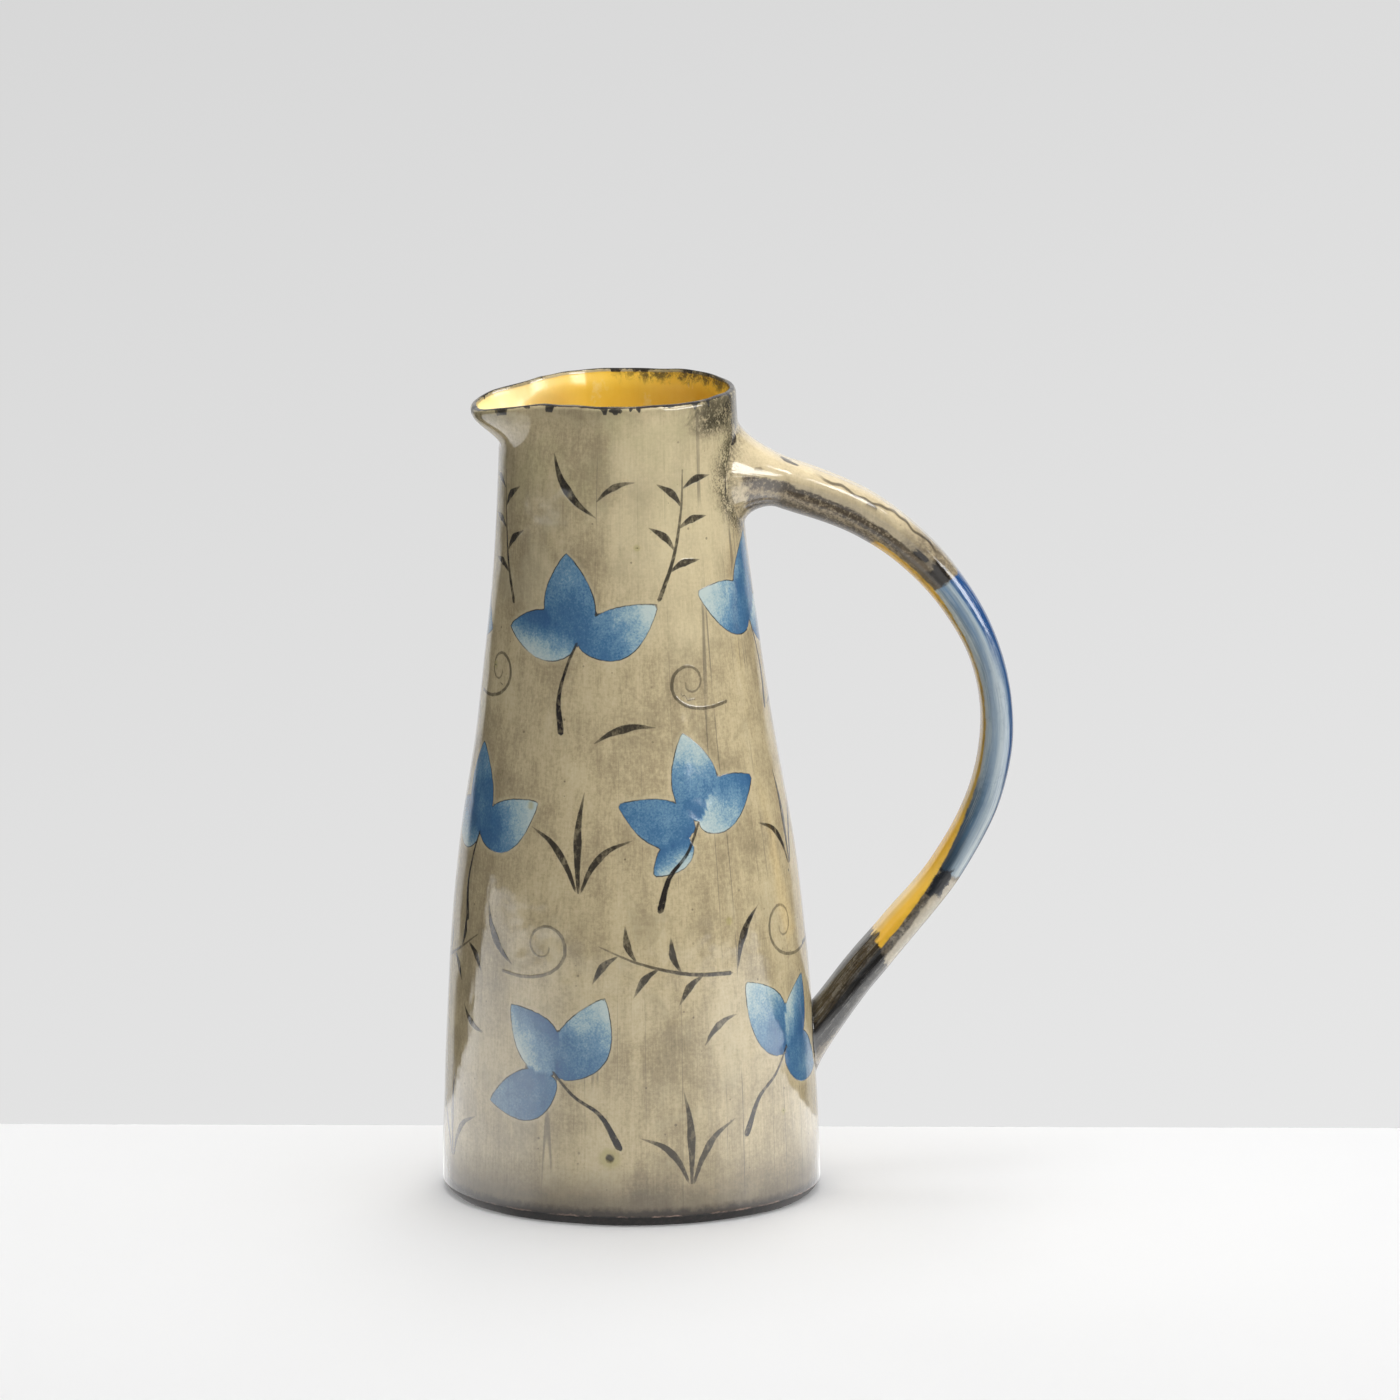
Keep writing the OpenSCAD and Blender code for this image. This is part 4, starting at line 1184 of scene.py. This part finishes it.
# ------------------------------------------------------------------ base materials
def inner_material():
    mat, g, bsdf, p = start_material("ewer_inner_glaze")
    col, pit = specks(g, p, yellow(g, p))
    # the underside is left bare
    z = g.split(p)[2]
    clay = g.ramp(g.noise(p, 0.25, 5.0, 0.7), [(0.3, srgb(112, 92, 80)), (0.55, srgb(138, 114, 98)), (0.75, srgb(96, 78, 68))])
    clay = g.color(g.mul(g.band(g.noise(p, 1.4, 3.0, 0.7), 0.55, 0.75), 0.5), clay, srgb(188, 164, 146))
    under = g.band(z, 1.0, 2.0, 1.0, 0.0)
    g.put(bsdf.inputs["Base Color"], g.color(under, col, clay))
    g.put(bsdf.inputs["Roughness"], g.mixf(under, g.band(g.noise(p, 0.2, 2.0, 0.5), 0.3, 0.7, 0.06, 0.13), 0.78))
    bsdf.inputs["IOR"].default_value = 1.5
    h = g.mixf(under, g.mul(g.noise(p, 0.12, 2.0, 0.5), 0.8), g.noise(p, 0.9, 4.0, 0.7))
    g.put(bsdf.inputs["Normal"], bump(g, h, 0.4, 0.0006))
    return mat


# ------------------------------------------------------------------ pieces
m_body, m_handle, m_inner = body_material(), handle_material(), inner_material()
mean_run = run.mean(1)
vs_all = mix(np.append(mean_run, mean_run[-1] + 0.02) / (mean_run[-1] + 0.02), np.linspace(0, 1, NR + 1), 0.3)
wall_uv = grid_uv(np.append((A + LIP_HALF) / 360, 1.0), vs_all, NR, NC, True, True)[~in_lip]
vs_lip = mean_run[ROW_OUT0:ROW_IN0 + 1] - mean_run[ROW_OUT0]
lip_uv = grid_uv(np.linspace(0, 1, LIP_COLS + 1), vs_lip / vs_lip[-1], ROW_IN0 - ROW_OUT0 + 1, LIP_COLS + 1, False, False)
wall = make_piece("ewer_wall", body_co, body_quads[~in_lip], body_n, lip_cut(1), body_attrs, m_body, wall_uv)
lip = make_piece("ewer_pouring_lip", body_co, body_quads[in_lip], body_n, lip_cut(-1), body_attrs, m_body, lip_uv)
strap = tube_piece("ewer_handle_strap", UP0, LO0, m_handle)
upper = tube_piece("ewer_handle_upper_root", 0, UP0, m_handle)
lower = tube_piece("ewer_handle_lower_root", LO0, NT - 1, m_handle)
slab = lathe("ewer_base_slab", slab_profile(), m_inner)
coil = lathe("ewer_base_seam_coil", coil_profile(), m_inner)
for piece, node, slot in ((wall, "body_wall", "stone_glaze"), (lip, "pouring_lip", "stone_glaze"),
                          (strap, "handle_strap", "blue_glaze"), (upper, "handle_upper_root", "stone_glaze"),
                          (lower, "handle_lower_root", "stone_glaze"), (slab, "base_slab", "bare_clay"),
                          (coil, "base_seam_coil", "yellow_glaze")):
    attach(piece, "root")
    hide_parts(node)

# ------------------------------------------------------------------ stage
scene = bpy.context.scene
AZ, EL, DIST = math.radians(-5.0), math.radians(11.0), 4.0
back = Vector((math.sin(AZ) * math.cos(EL), -math.cos(AZ) * math.cos(EL), math.sin(EL)))
right = Vector((math.cos(AZ), math.sin(AZ), 0))
away = Vector((-math.sin(AZ), math.cos(AZ), 0))


def staged(across, depth, up):
    return right * across + away * depth + Vector((0, 0, up))


def table():
    """A white table top, with a softened back edge that the camera sees as the horizon."""
    mat, g, bsdf, p = start_material("stage_table")
    v = g.noise(p, 0.004, 3.0, 0.5)
    g.put(bsdf.inputs["Base Color"], g.color(v, (0.89, 0.89, 0.89), (0.92, 0.92, 0.92)))
    bsdf.inputs["Roughness"].default_value = 0.6
    bsdf.inputs["Specular IOR Level"].default_value = 0.0
    g.put(bsdf.inputs["Normal"], bump(g, g.noise(p, 0.5, 3.0, 0.6), 0.05, 0.0005))
    x0, x1, d0, d1, t, r = -1.2, 1.5, -1.12, 0.0828, 0.04, 0.002
    prof = [(d0, -t), (d0, -r), (d0 + r, 0.0)]
    prof += [(mix(d0 + r, d1 - r, f), 0.0) for f in (0.3, 0.6, 0.85, 0.95)]
    prof += [(d1 - r + r * math.sin(a), -r + r * math.cos(a)) for a in np.linspace(0, math.pi / 2, 7)]
    prof += [(d1, -t)]
    verts, faces = [], []
    for x in (x0, x1):
        for d, z in prof:
            tilt = -0.0130 * x
            verts.append(tuple(staged(x, d + (tilt if d > 0 else 0), z - 0.00004)))
    n = len(prof)
    for k in range(n):
        faces.append((k, (k + 1) % n, n + (k + 1) % n, n + k))
    faces += [tuple(range(n))[::-1], tuple(range(n, 2 * n))]
    mesh = bpy.data.meshes.new("stage_table")
    mesh.from_pydata(verts, [], faces)
    mesh.update()
    obj = bpy.data.objects.new("stage_table", mesh)
    scene.collection.objects.link(obj)
    mesh.materials.append(mat)
    return obj


def board(name, corners, front, side):
    """The table as the glaze mirrors it: brighter than the picture can show, and shaded round the foot. It shows only
    as a sheen in the glaze."""
    mat = bpy.data.materials.new(name)
    mat.use_nodes = True
    mat.node_tree.nodes.clear()
    g = Nodes(mat.node_tree)
    out, glow = g.new("ShaderNodeOutputMaterial"), g.new("ShaderNodeEmission")
    xyz = g.split(g.new("ShaderNodeTexCoord").outputs["Object"])
    away_by = g.m("SQRT", g.add(g.mul(xyz[0], xyz[0]), g.mul(xyz[1], xyz[1])))
    aside = g.m("DIVIDE", g.m("ABSOLUTE", g.add(g.mul(xyz[0], right[0]), g.mul(xyz[1], right[1]))), away_by)
    level = g.mul(g.band(aside, 0.52, 0.94, front, side), g.band(away_by, 0.12, 0.8, 1.10, 0.88))
    g.put(glow.inputs["Strength"], g.mul(level, g.band(away_by, 0.060, 0.17, 0.62, 1.0)))
    g.put(out.inputs["Surface"], glow.outputs[0])
    mesh = bpy.data.meshes.new(name)
    mesh.from_pydata([tuple(staged(x, d, 0.0003)) for x, d in corners], [], [tuple(range(len(corners)))])
    mesh.update()
    mesh.materials.append(mat)
    obj = bpy.data.objects.new(name, mesh)
    scene.collection.objects.link(obj)
    obj.visible_camera = obj.visible_diffuse = obj.visible_shadow = obj.visible_transmission = False


ground = bpy.data.collections.new("ground")
ground.objects.link(table())
board("stage_sheen", [(-1.4, -1.2), (1.5, -1.1), (1.5, 0.12), (0.0, 0.095), (-1.4, 0.287)], 0.80, 2.05)


def area(name, where, aim, size, radiance, diffuse=True, glossy=True, only=None, shadow=True):
    """A soft box of a given radiance. Some only fill, some only show as a reflection in the glaze, and some are
    flagged off the table or off the pot."""
    data = bpy.data.lights.new(name, "AREA")
    data.shape = "RECTANGLE"
    data.size, data.size_y = size
    data.energy = radiance * math.pi * size[0] * size[1]
    data.use_shadow = shadow
    obj = bpy.data.objects.new(name, data)
    scene.collection.objects.link(obj)
    obj.location = where
    obj.rotation_mode = "QUATERNION"
    obj.rotation_quaternion = (Vector(aim) - Vector(where)).to_track_quat("-Z", "Y")
    obj.visible_camera = False
    obj.visible_diffuse, obj.visible_glossy = diffuse, glossy
    if only is not None:
        obj.light_linking.receiver_collection = only
    return obj


pot = bpy.data.collections.new("pot")
for piece in (wall, lip, strap, upper, lower, slab, coil):
    pot.objects.link(piece)
middle = Vector((0, 0, 0.16))
area("top", staged(0.12, 0.12, 1.5), Vector((0, 0, 0.0)), (1.4, 1.3), 4.9, glossy=False, only=pot)
area("top_sheen", staged(0.12, 0.12, 1.5), Vector((0, 0, 0.0)), (1.4, 1.3), 0.42, diffuse=False)
area("top_table", staged(0.06, 0.26, 1.5), Vector((0, 0, 0.0)), (0.36, 1.5), 3.5, only=ground)
area("even_table", staged(0.25, 0.0, 1.8), staged(0.25, 0.0001, 0.0), (1.8, 1.8), 2.55, only=ground, shadow=False)
area("front_fill", staged(0.77, -0.66, 0.95), middle, (0.9, 0.9), 4.45, glossy=False, only=pot)
area("side_panel", staged(1.494, -0.573, 0.585), Vector((0, 0, 0.585)), (1.1, 0.45), 7.5, diffuse=False)
area("ridge_strip", staged(1.02, -0.45, 1.38), Vector((0.06, 0, 0.22)), (0.7, 0.34), 7.0, diffuse=False)
area("left_strip", staged(-1.15, -0.1, 0.42), Vector((0, 0, 0.2)), (0.5, 0.9), 0.05, diffuse=False)


def world():
    """A studio: pale backdrop behind, dim sides and a soft ceiling."""
    w = bpy.data.worlds.new("studio")
    scene.world = w
    w.use_nodes = True
    w.node_tree.nodes.clear()
    g = Nodes(w.node_tree)
    out = g.new("ShaderNodeOutputWorld")
    tc = g.new("ShaderNodeTexCoord")
    d = g.split(tc.outputs["Generated"])
    depth = g.add(g.mul(d[0], away[0]), g.mul(d[1], away[1]))
    across = g.add(g.mul(d[0], right[0]), g.mul(d[1], right[1]))
    flat_len = g.m("SQRT", g.add(g.mul(depth, depth), g.mul(across, across)))
    cosaz = g.m("DIVIDE", depth, g.m("MAXIMUM", flat_len, 0.001))
    backdrop = g.mul(g.mul(g.band(cosaz, 0.77, 0.84), g.band(d[2], 0.80, 0.70)), 0.78)
    room = g.band(cosaz, 0.3, -0.7, 0.055, 0.12)
    dome = g.band(d[2], 0.50, 0.80, 0.0, 0.23)
    light = g.m("MAXIMUM", g.m("MAXIMUM", backdrop, room), dome)
    bg = g.new("ShaderNodeBackground")
    rgb = g.new("ShaderNodeCombineColor")
    for i in range(3):
        g.put(rgb.inputs[i], light)
    g.put(bg.inputs["Color"], rgb.outputs[0])
    bg.inputs["Strength"].default_value = 1.0
    seen = g.new("ShaderNodeBackground")
    grey = g.add(g.band(d[2], -0.227, -0.137, 0.785, 0.70, smooth=False), g.band(across, -0.32, 0.32, -0.096, 0.096, smooth=False))
    rgb2 = g.new("ShaderNodeCombineColor")
    for i in range(3):
        g.put(rgb2.inputs[i], grey)
    g.put(seen.inputs["Color"], rgb2.outputs[0])
    lp = g.new("ShaderNodeLightPath")
    mixn = g.new("ShaderNodeMixShader")
    g.put(mixn.inputs[0], lp.outputs["Is Camera Ray"])
    g.put(mixn.inputs[1], bg.outputs[0])
    g.put(mixn.inputs[2], seen.outputs[0])
    g.put(out.inputs["Surface"], mixn.outputs[0])


world()

cam_data = bpy.data.cameras.new("camera")
cam = bpy.data.objects.new("camera", cam_data)
scene.collection.objects.link(cam)
cam_data.sensor_width = 36.0
cam_data.lens = 36.0 * 3.255 * DIST * 1000 / 1400
cam_data.clip_start, cam_data.clip_end = 0.1, 60.0
target = right * 0.0211 + Vector((0, 0, 0.1526))
cam.location = target + back * DIST
cam.rotation_mode = "QUATERNION"
cam.rotation_quaternion = (-back).to_track_quat("-Z", "Y")
scene.camera = cam

scene.view_settings.view_transform = "Standard"
scene.view_settings.look = "None"
scene.view_settings.exposure = 0.0
scene.view_settings.gamma = 1.0
scene.cycles.use_denoising = True
